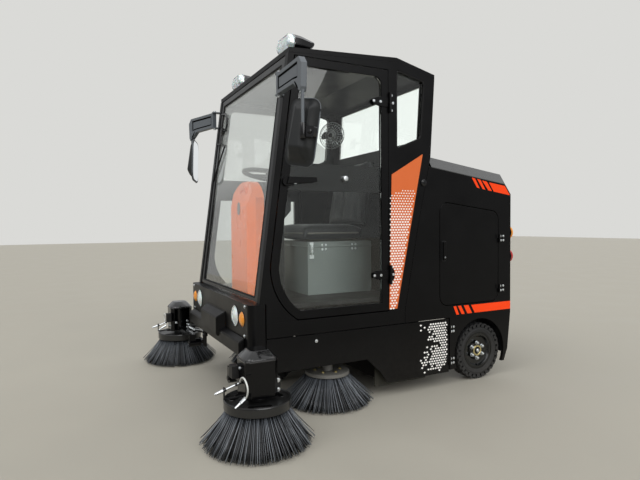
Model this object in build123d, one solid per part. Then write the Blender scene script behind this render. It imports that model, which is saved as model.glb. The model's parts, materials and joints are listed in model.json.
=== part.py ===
from build123d import *
import os
from math import cos, radians, sin

# Compact ride-on road sweeper with a closed cab, in millimetres.
# +X is to the driver's left, +Y to the rear and +Z up. Everything is drawn with the front panel's
# face on y = 0 and the ground on z = 0, and each piece is moved forward by HALF_LENGTH_SHIFT when it is
# written, so that the origin lies on the ground below the middle of the whole machine.

# Body shell
BODY_HALF = 611.0          # centre line to the outer face of the side panels
SHEET = 20.0               # folded body panels, over their flanges
PANEL_GAP = 5.0            # gap round a door, hatch or skirt
SEAT_GAP = 0.3             # a piece that lies against its seat
SKIRT_TOP = 415.0
SILL_TOP = 499.0
BODY_REAR = 1830.0         # outer face of the rear panel
BODY_LOW = 94.0            # lowest edge of the rear side panels

# Front panel and bumper
PANEL_LOW = 340.0
PANEL_TOP = 598.0
PANEL_DEPTH = 86.0         # the front panel's corners return this far along the sides
PANEL_CORNER = 38.0        # radius of those corners
BUMPER_HALF = BODY_HALF - 71
BUMPER_REACH = 34.0        # how far the bumper stands ahead of the panel
BUMPER_LEDGE = 424.0       # height where its sloping ledge meets the panel
LEDGE_DROP = 22.0
BUMPER_BOX_HALF = 200.0
BUMPER_BOX_TOP = 508.0
BUMPER_BOX_REACH = 48.0
HEAD_LAMP_X = BODY_HALF - 231.5
HEAD_LAMP_Z = 514.0
HEAD_LAMP_R = 58.0
INDICATOR_X = BODY_HALF - 112
INDICATOR_R = 40.0
LAMP_DEPTH = 36.0
LAMP_DOME = 9.0            # the lenses stand this far ahead of the panel

# Cab
SCREEN_FOOT_Y = 54.0       # front edge of the cab side where it meets the front panel's top
SCREEN_HEAD_Y = 232.0      # and at the roof
ROOF_FRONT_Z = 1920.0
ROOF_PEAK = (909.0, 1961.0)
ROOF_REAR = (1185.0, 1897.0)
CAB_WAIST = (1155.0, 1406.0)
CAB_KNEE = (1067.0, 1027.0)
CAB_HEEL = (963.0, 499.0)
CAB_POST = 40.0            # cab side tubes, across the machine
ROOF_THICK = 26.0
GLASS = 5.0
FLOOR_TOP = 580.0
FLOOR_THICK = 22.0
PEDAL_X = 270.0
PEDAL_Y = 250.0
REAR_WINDOW_HALF = BODY_HALF - 121
REAR_WINDOW_LOW = 1515.0
REAR_WINDOW_TOP = 1850.0
QUARTER_WINDOW = ((911.0, 1893.0), (1106.0, 1850.0), (1080.0, 1513.0), (911.0, 1443.0))   # y, z
QUARTER_PANEL = ((870.0, 1289.0), (1094.0, 1418.0), (906.0, 511.0), (850.0, 511.0))       # y, z
QUARTER_PANEL_THICK = 2.5

# Cab doors
DOOR_LOW = 506.0
DOOR_TOP = 1880.0
DOOR_REAR = 845.0
DOOR_FRONT_Y = 124.0       # front edge of the door at DOOR_FRONT_Z, from where it leans with the screen
DOOR_FRONT_Z = 830.0
DOOR_ARC_TOP = 790.0       # height where the cut-away front corner begins
DOOR_ARC_MID = (206.0, 560.0)
DOOR_ARC_FOOT = 270.0
DOOR_FRAME = 44.0          # width of the door's frame
DOOR_THICK = 30.0
DOOR_BAND = (1183.0, 1329.0)   # the band across the door behind its glass
DOOR_CORNER = 45.0         # radius of the window's upper corners
DOOR_PROUD = 3.0
DOOR_PIN_X = BODY_HALF + 17
DOOR_PIN_Y = DOOR_REAR + 7
DOOR_HINGES = (712.0, 1697.0)
DOOR_PIN_R = 8.0
DOOR_KNUCKLE = 55.0        # each half of the hinge, along its pin
HINGE_LEAF = 36.0          # the leaf on the door post, a half-moon this wide
HINGE_SHEET = 5.0
STRAP_LONG = 118.0         # the pointed strap on the door
STRAP_HALF = 27.0
HANDLE_Z = 1228.0
HANDLE_LONG = 190.0
HANDLE_PLATE = (70.0, 48.0, 16.0)    # the handle's housing: along the door, tall and thick

# Rear body
REAR_TOP_FRONT = (1141.0, 1346.0)    # upper edge of the side panel, y and z
REAR_TOP_REAR = (1777.0, 1258.0)
REAR_SLOPE_FOOT = 1191.0
REAR_CUT = (1804.0, 175.0)           # lower rear corner of the side panel
REAR_TIP = (1772.0, 94.0)
RIDGE_INSET = 43.0
RIDGE_RISE = 70.0
COVER_WALL = 12.0
COVER_HEM = 4.0            # the cover's upright edge above the side panel
HATCH = ((1229.0, 500.0), (1229.0, 1138.0), (1715.0, 1077.0), (1715.0, 500.0))   # y, z
HATCH_CORNER = 58.0
SMALL_PIN_OUT = 8.0        # the small hinges' pins stand outside the panels
HATCH_PIN_X = BODY_HALF + SMALL_PIN_OUT
HATCH_PIN_Y = HATCH[2][0] + 7
HATCH_HANDLE_Y = (1246.0, 1268.0)
HATCH_HANDLE_Z = (779.0, 892.0)
HATCH_HANDLE_OUT = 14.0
HATCH_HINGES = (578.0, 906.0)
SKIRT_FRONT = 92.0
SKIRT_REAR = 1298.0
SKIRT_THICK = 12.0
SKIRT_HIGH = 237.0         # lower edge over the side brushes
SKIRT_LOW = 83.0           # lower edge beside the main brush
SKIRT_STEP = ((700.0, 237.0), (792.0, 148.0), (833.0, 92.0), (846.0, 83.0))
SKIRT_HINGES = (150.0, 347.0)
SKIRT_PIN_X = BODY_HALF + SMALL_PIN_OUT
SMALL_PIN_R = 6.0
SMALL_KNUCKLE = 28.0
LAMP_Z_AMBER = 942.0
LAMP_Z_RED = 785.0
TAIL_LAMP_X = BODY_HALF - 45
TAIL_LAMP_R = 44.0
TAIL_LAMP_DEPTH = 25.0
REAR_CUT_TOP = 419.0       # where the rear edge starts to lean in
REAR_PANEL_LOW = 420.0
LOUVRES = (6, 560.0, 34.0, 14.0)     # count, lowest height, pitch and height of a slot
LOUVRE_HALF = 220.0
BATTERY_FRONT = 1240.0
BATTERY_REAR = 1720.0
BATTERY_TOP = 900.0

# Wheels
WHEEL_R = 181.0
RIM_R = 114.0
REAR_WHEEL_Y = 1556.0
REAR_TYRE_WIDTH = 96.0
REAR_TYRE_FACE = BODY_HALF - 10    # outer side of the rear tyres
ARCH_R = 212.0
STUB_R = 17.0
BORE_GAP = 0.08            # running clearance of wheels, arms and the fork on their shafts
NUT_CIRCLE = 49.0
HUB_R = 36.0
FRONT_WHEEL_Y = 350.0
FRONT_TYRE_WIDTH = 90.0
FORK_PIN_R = 20.0
FORK_LEG = 12.0
FORK_GAP = 12.0            # tyre side to fork leg

# Chassis
RAIL_X = BODY_HALF - 211
RAIL_WIDE = 40.0
RAIL_LOW = 400.0
RAIL_HIGH = 60.0
HEAD_TUBE_R = 38.0
FRAME_FRONT = LAMP_DEPTH + 2
MEMBER_DEEP = 40.0         # cross members, along the machine
MID_MEMBER_Y = 570.0
REAR_MEMBER_Y = 1330.0
JACK_PAD_Y = (620.0, 700.0)
JACK_PAD_THICK = 8.0

# Side brushes
BRISTLE_R = 270.0
BRISTLE_OFF_GROUND = 1.0
FRONT_BRUSH_X = BODY_HALF + 224
FRONT_BRUSH_Y = -43.0
FRONT_PLATE_R = 155.0
FRONT_PLATE_LOW = 167.0
FRONT_PLATE_TOP = 219.0
MOTOR_BOX_HALF = 76.5
MOTOR_BOX_TOP = 420.0
MOTOR_BOX_BEVEL = 20.0
MID_BRUSH_X = BODY_HALF - 122
MID_BRUSH_Y = 506.5
MID_PLATE_R = 126.0
MID_PLATE_LOW = 160.0
MID_MOTOR_TALL = 110.0
MID_PLATE_TOP = 178.0
FRONT_ARM_PIN = (BODY_HALF - 161, 200.0)       # x, z
MID_ARM_PIN = (150.0, 320.0)
ARM_PIN_R = 12.0
HUB_REACH = 8.0            # front brush plate to its motor
MID_HUB_REACH = 60.0       # middle brush plate to its motor

# Main brush
ROLLER_Y = 1070.0
ROLLER_R = 140.0
ROLLER_SHAFT_R = 16.0
ROLLER_SHAFT_REACH = 50.0  # the shaft stands this far out of each end of the roller
ROLLER_OFF_GROUND = 2.0
HOUSING_FRONT = 850.0
HOUSING_REAR = 1282.0
HOUSING_HALF = BODY_HALF - 141
ROLLER_HALF = HOUSING_HALF - 70
HOUSING_TOP = 330.0
HOUSING_LOW = 70.0
HOUSING_WALL = 12.0
FLAP_X = BODY_HALF - 59
FLAP_THICK = 6.0
FLAP_Y = (784.0, 1153.0)
FLAP_LOW = 55.0
FLAP_TOP = 206.0

# Cab fittings
SEAT_BOX_HALF = 300.0
SEAT_BOX_FRONT = 480.0
SEAT_BOX_REAR = 930.0
SEAT_BOX_TOP = 900.0
SEAT_BACK_SIZE = (430.0, 90.0, 420.0)
SEAT_BACK_LEAN = 10.0
CUSHION_TALL = 110.0
COLUMN_HALF = 193.0
COLUMN_BEVEL = 43.0
COLUMN_FRONT = 155.0
COLUMN_REAR = 250.0
COLUMN_TOP = 1272.0
COLUMN_SHOULDER = 1165.0   # where the cover's rounded top begins
COLUMN_LEAN_Z = 1120.0     # above this the cover's face leans back behind the windscreen
COLUMN_LEAN = 45.0
CONSOLE_HALF = 170.0       # black casing behind the orange cover
CONSOLE = ((0.0, 0.0), (135.0, 0.0), (135.0, 460.0), (180.0, 510.0), (180.0, 580.0), (150.0, 612.0),
           (0.0, 612.0))   # y behind the cover and height over the floor
WHEEL_HUB = (372.0, 1315.0)          # steering wheel centre, y and z
STEER_RIM_R = 170.0
STEER_TILT = 10.0
STEER_SHAFT = 150.0
STEER_SHAFT_R = 20.0
STEER_PLACE = Pos(0, *WHEEL_HUB) * Rot(-STEER_TILT, 0, 0)

# Roof lights and mirrors
ROOF_LIGHT_X = BODY_HALF - 195
ROOF_LIGHT_Y = 279.0       # face of the lens
ROOF_LIGHT_LOW = 1956.0
ROOF_LIGHT_TOP = 2043.0
ROOF_LIGHT_HALF = 90.0
ROOF_LIGHT_REAR = 442.0
ROOF_LIGHT_CUT = 26.0
MIRROR_PIVOT = (BODY_HALF - 11, 178.0)
MIRROR_ARM = ((0.0, 1776.0), (300.0, 1776.0), (330.0, 1742.0), (324.0, 1634.0), (312.0, 1614.0),
              (232.0, 1668.0), (0.0, 1672.0))        # distance from the pivot, and z
MIRROR_ARM_THICK = 30.0
MIRROR_RECESS = ((20.0, 1758.0), (284.0, 1758.0), (284.0, 1682.0), (225.0, 1688.0), (20.0, 1690.0))
MIRROR_RECESS_DEEP = 4.0
MIRROR_WIDE = 172.0
MIRROR_TALL = 312.0
MIRROR_CORNER = 42.0
MIRROR_PROFILE = ((0.0, -156.0), (14.0, -156.0), (54.0, -70.0), (26.0, 156.0), (0.0, 156.0))  # depth, height
MIRROR_STALK_AT = 310.0    # the stalk's distance from the pivot
STALK_R = 8.0
CLAMP_TALL = 72.0
MIRRORS = (
    # side, rise of the arm, its swing to the rear, middle of the mirror's glass, yaw, lean
    (1, 0.0, -2.5, (860.0, 190.0, 1436.0), 27.0, 10.0),
    (-1, 38.0, -17.5, (860.0, 100.0, 1493.0), 27.0, 7.0),
)

# The middle of the machine's length, from the front brushes' tips to the tail lamps
FRONT_REACH = FRONT_BRUSH_Y - BRISTLE_R
REAR_REACH = BODY_REAR + TAIL_LAMP_DEPTH
HALF_LENGTH_SHIFT = (FRONT_REACH + REAR_REACH) / 2

PARTS = {}


def side_solid(outline, x_from, x_to):
    """Extrude an outline of (y, z) points between two distances from the centre line."""
    face = make_face(Polyline(*outline, close=True))
    return Pos(x_from, 0, 0) * extrude(Plane.YZ * face, x_to - x_from)


def side_face(face, x_from, x_to):
    """Extrude a flat face drawn in (y, z) between two distances from the centre line."""
    return Pos(x_from, 0, 0) * extrude(Plane.YZ * face, x_to - x_from)


def block(x, y, z):
    """A box given by its low and high limits on each axis."""
    size = [high - low for low, high in (x, y, z)]
    return Pos((x[0] + x[1]) / 2, (y[0] + y[1]) / 2, (z[0] + z[1]) / 2) * Box(*size)


def rod_z(x, y, z_from, z_to, radius):
    return Pos(x, y, (z_from + z_to) / 2) * Cylinder(radius, z_to - z_from)


def rod_x(y, z, x_from, x_to, radius):
    return Pos((x_from + x_to) / 2, y, z) * Rot(0, 90, 0) * Cylinder(radius, x_to - x_from)


def rod_y(x, z, y_from, y_to, radius):
    return Pos(x, (y_from + y_to) / 2, z) * Rot(90, 0, 0) * Cylinder(radius, y_to - y_from)


def other_side(shape):
    return mirror(shape, about=Plane.YZ)


def both_sides(shape):
    return shape + other_side(shape)


def pair(name, shape):
    """Keep a left piece and its mirror image as two nodes."""
    PARTS[name + "_left"] = shape
    PARTS[name + "_right"] = other_side(shape)


def along(low, high, share):
    return low + (high - low) * share


def lean_y(z):
    """The cab's front edge at a height."""
    share = (z - PANEL_TOP) / (ROOF_FRONT_Z - PANEL_TOP)
    return along(SCREEN_FOOT_Y, SCREEN_HEAD_Y, share)


def door_front(z):
    """The door's front edge at a height: it leans as the windscreen does."""
    return DOOR_FRONT_Y + lean_y(z) - lean_y(DOOR_FRONT_Z)


def roof_z(y):
    """Height of the roof's top face at a distance from the front."""
    if y < ROOF_PEAK[0]:
        share = (y - SCREEN_HEAD_Y) / (ROOF_PEAK[0] - SCREEN_HEAD_Y)
        return along(ROOF_FRONT_Z, ROOF_PEAK[1], share)
    share = (y - ROOF_PEAK[0]) / (ROOF_REAR[0] - ROOF_PEAK[0])
    return along(ROOF_PEAK[1], ROOF_REAR[1], share)


# Chassis

def chassis_frame():
    z_range = (RAIL_LOW, RAIL_LOW + RAIL_HIGH)
    rail_end = BODY_REAR - SHEET - 10
    rail = block((RAIL_X - RAIL_WIDE / 2, RAIL_X + RAIL_WIDE / 2), (FRAME_FRONT, rail_end), z_range)
    pad = block((RAIL_X - RAIL_WIDE / 2 - 8, RAIL_X + RAIL_WIDE / 2 + 8), JACK_PAD_Y,
                (RAIL_LOW - JACK_PAD_THICK, RAIL_LOW + 1))
    frame = both_sides(rail + pad)
    inner = RAIL_X - RAIL_WIDE / 2
    outer = BODY_HALF - CAB_POST - SEAT_GAP
    rear_outer = BODY_HALF - SHEET - SEAT_GAP
    cross_members = (
        # y from, depth, half length
        (FRAME_FRONT, MEMBER_DEEP, outer),
        (FRONT_WHEEL_Y - MEMBER_DEEP, 2 * MEMBER_DEEP, inner),
        (MID_MEMBER_Y, MEMBER_DEEP, inner),
        (HOUSING_FRONT - 30, MEMBER_DEEP, outer),
        (REAR_MEMBER_Y, MEMBER_DEEP, rear_outer),
        (rail_end - MEMBER_DEEP, MEMBER_DEEP, rear_outer),
    )
    for y_from, deep, half in cross_members:
        frame += block((-half, half), (y_from, y_from + deep), z_range)
    frame += rod_z(0, FRONT_WHEEL_Y, RAIL_LOW, RAIL_LOW + RAIL_HIGH + 30, HEAD_TUBE_R)
    frame -= rod_z(0, FRONT_WHEEL_Y, RAIL_LOW - 1, RAIL_LOW + RAIL_HIGH + 31, FORK_PIN_R + BORE_GAP)
    arm_x, arm_z = FRONT_ARM_PIN
    bracket = block((arm_x - 30, arm_x + 30), (FRAME_FRONT, FRAME_FRONT + 14), (arm_z - 30, RAIL_LOW + 1))
    bracket += rod_y(arm_x, arm_z, FRONT_BRUSH_Y - 26, FRAME_FRONT + 5, ARM_PIN_R)
    mid_x, mid_z = MID_ARM_PIN
    bracket += block((mid_x - 28, mid_x + 28), (MID_MEMBER_Y, MID_MEMBER_Y + 14), (mid_z - 26, RAIL_LOW + 1))
    bracket += rod_y(mid_x, mid_z, MID_BRUSH_Y - 12, MID_MEMBER_Y + 5, ARM_PIN_R)
    frame += both_sides(bracket)
    return frame


def rear_axle():
    beam_end = REAR_TYRE_FACE - REAR_TYRE_WIDTH - 25
    axle = rod_x(REAR_WHEEL_Y, WHEEL_R, -beam_end, beam_end, 30)
    stub_end = REAR_TYRE_FACE - 30
    axle += rod_x(REAR_WHEEL_Y, WHEEL_R, -stub_end, stub_end, STUB_R)
    axle += rod_x(REAR_WHEEL_Y, WHEEL_R, -70, 70, 78)
    axle += rod_y(60, WHEEL_R, REAR_WHEEL_Y - 190, REAR_WHEEL_Y, 62)
    hanger = block((RAIL_X - 15, RAIL_X + 15), (REAR_WHEEL_Y - 45, REAR_WHEEL_Y + 45),
                   (WHEEL_R, RAIL_LOW - SEAT_GAP))
    spring = block((RAIL_X - 25, RAIL_X + 25), (REAR_WHEEL_Y - 230, REAR_WHEEL_Y + 200),
                   (WHEEL_R + 40, WHEEL_R + 64))
    return axle + both_sides(hanger + spring)


def tyre(width):
    """A solid tyre about the X axis, its middle at the origin, with rounded shoulders."""
    half = width / 2
    shoulder = 24.0
    profile = Polyline((-half + 8, RIM_R), (-half, RIM_R + 14), (-half, WHEEL_R - shoulder))
    tread = ThreePointArc((-half, WHEEL_R - shoulder), (-half * 0.78, WHEEL_R - 5), (-half * 0.5, WHEEL_R))
    flat = Line((-half * 0.5, WHEEL_R), (half * 0.5, WHEEL_R))
    tread_2 = ThreePointArc((half * 0.5, WHEEL_R), (half * 0.78, WHEEL_R - 5), (half, WHEEL_R - shoulder))
    closing = Polyline((half, WHEEL_R - shoulder), (half, RIM_R + 14), (half - 8, RIM_R), (-half + 8, RIM_R))
    section = make_face(profile + tread + flat + tread_2 + closing)
    return revolve(Plane.XZ * section, Axis.X)


def rim(width, bore, sign):
    """A steel disc wheel about the X axis: its dish faces +X when the sign is 1."""
    half = width / 2 - 6
    disc = 12.0
    edge = RIM_R - SEAT_GAP
    outline = [
        (-half, edge), (half, edge), (half, edge - 14), (half - 14, edge - 22), (12 + disc, edge - 26),
        (8 + disc, HUB_R + 24), (20 + disc, HUB_R + 16), (20 + disc, HUB_R), (36, HUB_R - 6),
        (36, bore), (-half + 10, bore), (-half + 10, HUB_R), (8, HUB_R + 20), (12, edge - 22), (-half, edge - 12),
    ]
    section = make_face(Polyline(*outline, close=True))
    wheel = revolve(Plane.XZ * section, Axis.X)
    for index in range(6):
        wheel += Rot(index * 60, 0, 0) * Pos(18 + disc, 0, NUT_CIRCLE) * Rot(0, 90, 0) * Cylinder(7, 14)
    return wheel if sign > 0 else mirror(wheel, about=Plane.YZ)


def steering_fork():
    leg_x = FRONT_TYRE_WIDTH / 2 + FORK_GAP
    crown_low = 2 * WHEEL_R + 8
    crown_top = RAIL_LOW - 6
    fork = block((-leg_x - FORK_LEG, leg_x + FORK_LEG), (-34, 34), (crown_low, crown_top))
    fork += rod_z(0, 0, crown_top - 1, RAIL_LOW + RAIL_HIGH + 25, FORK_PIN_R)
    leg = block((leg_x, leg_x + FORK_LEG), (-30, 30), (WHEEL_R - 26, crown_low + 1))
    fork += both_sides(leg)
    fork += rod_x(0, WHEEL_R, -leg_x - FORK_LEG - 8, leg_x + FORK_LEG + 8, STUB_R)
    return Pos(0, FRONT_WHEEL_Y, 0) * fork


def wheels():
    front = Pos(0, FRONT_WHEEL_Y, WHEEL_R)
    PARTS["steering_fork"] = steering_fork()
    PARTS["front_tyre"] = front * tyre(FRONT_TYRE_WIDTH)
    PARTS["front_rim"] = front * rim(FRONT_TYRE_WIDTH, STUB_R + BORE_GAP, 1)
    middle = REAR_TYRE_FACE - REAR_TYRE_WIDTH / 2
    rear = Pos(middle, REAR_WHEEL_Y, WHEEL_R)
    pair("rear_tyre", rear * tyre(REAR_TYRE_WIDTH))
    pair("rear_rim", rear * rim(REAR_TYRE_WIDTH, STUB_R + BORE_GAP, 1))


# Front panel, bumper and lamps

def front_panel():
    outer = RectangleRounded(2 * BODY_HALF, 2 * PANEL_DEPTH, PANEL_CORNER)
    inner = RectangleRounded(2 * (BODY_HALF - 14), 2 * (PANEL_DEPTH - 14), PANEL_CORNER - 14)
    plan = outer - inner
    keep = Pos(0, -PANEL_DEPTH / 2) * Rectangle(2 * BODY_HALF, PANEL_DEPTH)
    wall = Pos(0, PANEL_DEPTH, PANEL_LOW) * extrude(plan & keep, PANEL_TOP - PANEL_LOW)
    cap = Pos(0, PANEL_DEPTH, PANEL_TOP - 10) * extrude(outer & keep, 10)
    panel = wall + cap
    for x, radius in ((HEAD_LAMP_X, HEAD_LAMP_R), (INDICATOR_X, INDICATOR_R)):
        panel -= both_sides(rod_y(x, HEAD_LAMP_Z, -1, 15, radius + SEAT_GAP))
    return panel


def front_bumper():
    low = PANEL_LOW - 8
    face = 0 - SEAT_GAP
    beam = [(face, low), (-BUMPER_REACH, low), (-BUMPER_REACH, BUMPER_LEDGE - LEDGE_DROP), (face, BUMPER_LEDGE)]
    box = [(face, low), (-BUMPER_BOX_REACH, low), (-BUMPER_BOX_REACH, BUMPER_BOX_TOP - LEDGE_DROP),
           (face, BUMPER_BOX_TOP)]
    bumper = side_solid(beam, -BUMPER_HALF, BUMPER_HALF)
    return bumper + side_solid(box, -BUMPER_BOX_HALF, BUMPER_BOX_HALF)


def lamp(radius, depth, dome):
    """A round lamp about the Y axis: body behind y = 0 and a low domed lens ahead of it."""
    arc = ThreePointArc((0, -dome), (radius * 0.6, -dome * 0.72), (radius, 0))
    outline = Polyline((radius, 0), (radius, depth * 0.5), (radius * 0.6, depth), (0, depth), (0, -dome))
    return revolve(make_face(arc + outline), Axis.Y)


def front_lamps():
    head = Pos(HEAD_LAMP_X, 0, HEAD_LAMP_Z) * lamp(HEAD_LAMP_R, LAMP_DEPTH, LAMP_DOME)
    PARTS["head_lamps"] = both_sides(head)
    front = Pos(INDICATOR_X, 0, HEAD_LAMP_Z) * lamp(INDICATOR_R, LAMP_DEPTH, LAMP_DOME)
    rear = rod_y(TAIL_LAMP_X, LAMP_Z_AMBER, BODY_REAR + SEAT_GAP, REAR_REACH, TAIL_LAMP_R)
    PARTS["indicator_lamps"] = both_sides(front + rear)
    red = rod_y(TAIL_LAMP_X, LAMP_Z_RED, BODY_REAR + SEAT_GAP, REAR_REACH, TAIL_LAMP_R)
    PARTS["tail_lamps"] = both_sides(red)


# Cab

def door_outline(grow):
    """The door's outline in (y, z), made larger all round by an amount."""
    top_front = (door_front(DOOR_TOP), DOOR_TOP)
    arc_top = (door_front(DOOR_ARC_TOP), DOOR_ARC_TOP)
    arc_foot = (DOOR_ARC_FOOT, DOOR_LOW)
    edge = Line(top_front, arc_top)
    edge += ThreePointArc(arc_top, DOOR_ARC_MID, arc_foot)
    edge += Polyline(arc_foot, (DOOR_REAR, DOOR_LOW), (DOOR_REAR, DOOR_TOP), top_front)
    face = make_face(edge)
    if grow == 0:
        return face
    return offset(face, grow, kind=Kind.INTERSECTION)


def hinge_leaf(z, grow):
    """The half-moon leaf of a door hinge on its post, as a flat face in (y, z)."""
    low = (DOOR_PIN_Y + DOOR_PIN_R - 6, z - DOOR_KNUCKLE - grow)
    high = (DOOR_PIN_Y + DOOR_PIN_R - 6, z + DOOR_KNUCKLE + grow)
    arc = ThreePointArc(low, (DOOR_PIN_Y + HINGE_LEAF + grow, z), high)
    return make_face(arc + Line(high, low))


def cab_side():
    inner = BODY_HALF - CAB_POST
    roof_drop = ROOF_THICK + SEAT_GAP
    outline = [
        (SKIRT_FRONT, SILL_TOP + SEAT_GAP), (SKIRT_FRONT, PANEL_TOP + SEAT_GAP),
        (SCREEN_FOOT_Y, PANEL_TOP + SEAT_GAP), (SCREEN_HEAD_Y - 3, ROOF_FRONT_Z - roof_drop),
        (ROOF_PEAK[0], ROOF_PEAK[1] - roof_drop), (ROOF_REAR[0], ROOF_REAR[1] - roof_drop),
        CAB_WAIST, CAB_KNEE, (CAB_HEEL[0], SILL_TOP + SEAT_GAP),
    ]
    side = side_solid(outline, inner, BODY_HALF)
    side -= side_face(door_outline(PANEL_GAP), inner - 1, BODY_HALF + 1)
    side -= block((inner - 1, BODY_HALF + 1), (DOOR_ARC_FOOT, DOOR_REAR + PANEL_GAP),
                  (SILL_TOP - 1, DOOR_LOW + 20))
    side -= side_solid(QUARTER_WINDOW, inner - 1, BODY_HALF + 1)
    for z in DOOR_HINGES:
        z_range = (z - DOOR_KNUCKLE, z - SEAT_GAP)
        leaf = side_face(hinge_leaf(z, 0), BODY_HALF - 1, BODY_HALF + HINGE_SHEET)
        leaf += block((BODY_HALF - 1, DOOR_PIN_X), (DOOR_PIN_Y, DOOR_PIN_Y + DOOR_PIN_R), z_range)
        side += leaf + rod_z(DOOR_PIN_X, DOOR_PIN_Y, *z_range, DOOR_PIN_R)
    return side


def cab_roof():
    front = SCREEN_HEAD_Y
    outline = [
        (front, ROOF_FRONT_Z), ROOF_PEAK, ROOF_REAR, (ROOF_REAR[0], ROOF_REAR[1] - ROOF_THICK),
        (ROOF_PEAK[0], ROOF_PEAK[1] - ROOF_THICK), (front, ROOF_FRONT_Z - ROOF_THICK),
    ]
    roof = side_solid(outline, -BODY_HALF, BODY_HALF)
    inner = BODY_HALF - CAB_POST - SEAT_GAP
    header_low = ROOF_FRONT_Z - 80
    header_top = ROOF_FRONT_Z - ROOF_THICK + 6
    header = [
        (lean_y(header_low) + 26, header_low), (lean_y(header_top) + 26, header_top),
        (front + 60, header_top), (front + 60, header_low + 16),
    ]
    return roof + side_solid(header, -inner, inner)


def rear_wall_line(offset_y, z_low):
    """The cab's rear line in (y, z), from the floor up to the roof, moved along y."""
    heel_share = (z_low - CAB_HEEL[1]) / (CAB_KNEE[1] - CAB_HEEL[1])
    low_y = along(CAB_HEEL[0], CAB_KNEE[0], heel_share)
    top_z = ROOF_REAR[1] - ROOF_THICK - SEAT_GAP
    return [(low_y + offset_y, z_low), (CAB_KNEE[0] + offset_y, CAB_KNEE[1]),
            (CAB_WAIST[0] + offset_y, CAB_WAIST[1]), (ROOF_REAR[0] + offset_y, top_z)]


def cab_rear_wall():
    inner = BODY_HALF - CAB_POST - SEAT_GAP
    outer_line = rear_wall_line(0, FLOOR_TOP + SEAT_GAP)
    inner_line = rear_wall_line(-SHEET, FLOOR_TOP + SEAT_GAP)
    wall = side_solid(outer_line + inner_line[::-1], -inner, inner)
    wall -= block((-REAR_WINDOW_HALF, REAR_WINDOW_HALF), (CAB_WAIST[0] - 60, ROOF_REAR[0] + 10),
                  (REAR_WINDOW_LOW, REAR_WINDOW_TOP))
    return wall


def windscreen():
    inner = BODY_HALF - CAB_POST - SEAT_GAP
    low = PANEL_TOP + SEAT_GAP
    high = ROOF_FRONT_Z - ROOF_THICK - SEAT_GAP
    ahead = 12.0
    outline = [
        (lean_y(low) + ahead, low), (lean_y(high) + ahead, high),
        (lean_y(high) + ahead + GLASS, high), (lean_y(low) + ahead + GLASS, low),
    ]
    return side_solid(outline, -inner, inner)


def fixed_windows():
    middle = BODY_HALF - CAB_POST / 2
    quarter = offset(make_face(Polyline(*QUARTER_WINDOW, close=True)), -SEAT_GAP, kind=Kind.INTERSECTION)
    glass = both_sides(side_face(quarter, middle, middle + GLASS))
    lean = (ROOF_REAR[0] - CAB_WAIST[0]) / (ROOF_REAR[1] - ROOF_THICK - SEAT_GAP - CAB_WAIST[1])
    low = REAR_WINDOW_LOW + SEAT_GAP
    high = REAR_WINDOW_TOP - SEAT_GAP
    low_y = CAB_WAIST[0] + lean * (low - CAB_WAIST[1]) - SHEET / 2
    high_y = CAB_WAIST[0] + lean * (high - CAB_WAIST[1]) - SHEET / 2
    rear = [(low_y, low), (high_y, high), (high_y + GLASS, high), (low_y + GLASS, low)]
    half = REAR_WINDOW_HALF - SEAT_GAP
    return glass + side_solid(rear, -half, half)


def quarter_panels():
    face = BODY_HALF + SEAT_GAP
    panel = side_solid(QUARTER_PANEL, face, face + QUARTER_PANEL_THICK)
    for z in DOOR_HINGES:
        panel -= side_face(hinge_leaf(z, 1), BODY_HALF, DOOR_PIN_X)
        panel -= block((BODY_HALF, DOOR_PIN_X), (DOOR_PIN_Y - 10, DOOR_PIN_Y + DOOR_PIN_R + 2),
                       (z - DOOR_KNUCKLE - 2, z + DOOR_KNUCKLE + 2))
    return both_sides(panel)


def cab_floor():
    inner = BODY_HALF - CAB_POST - SEAT_GAP
    rear = CAB_HEEL[0] - 10
    floor = block((-inner, inner), (PANEL_DEPTH + 10, rear), (FLOOR_TOP - FLOOR_THICK, FLOOR_TOP))
    legs = block((-inner, inner), (PANEL_DEPTH + 10, PANEL_DEPTH + 40),
                 (RAIL_LOW + RAIL_HIGH + SEAT_GAP, FLOOR_TOP - 1))
    legs += block((-inner, inner), (rear - 30, rear), (RAIL_LOW + RAIL_HIGH + SEAT_GAP, FLOOR_TOP - 1))
    pedal = Pos(PEDAL_X, PEDAL_Y, FLOOR_TOP + 40) * Rot(35, 0, 0) * Box(70, 110, 8)
    post = block((PEDAL_X - 10, PEDAL_X + 10), (PEDAL_Y - 10, PEDAL_Y + 12), (FLOOR_TOP - 1, FLOOR_TOP + 40))
    return floor + legs + pedal + post


def side_sills():
    inner = BODY_HALF - CAB_POST
    sill = block((inner, BODY_HALF), (SKIRT_FRONT, CAB_HEEL[0]), (SKIRT_TOP + PANEL_GAP, SILL_TOP))
    return both_sides(sill)


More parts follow.
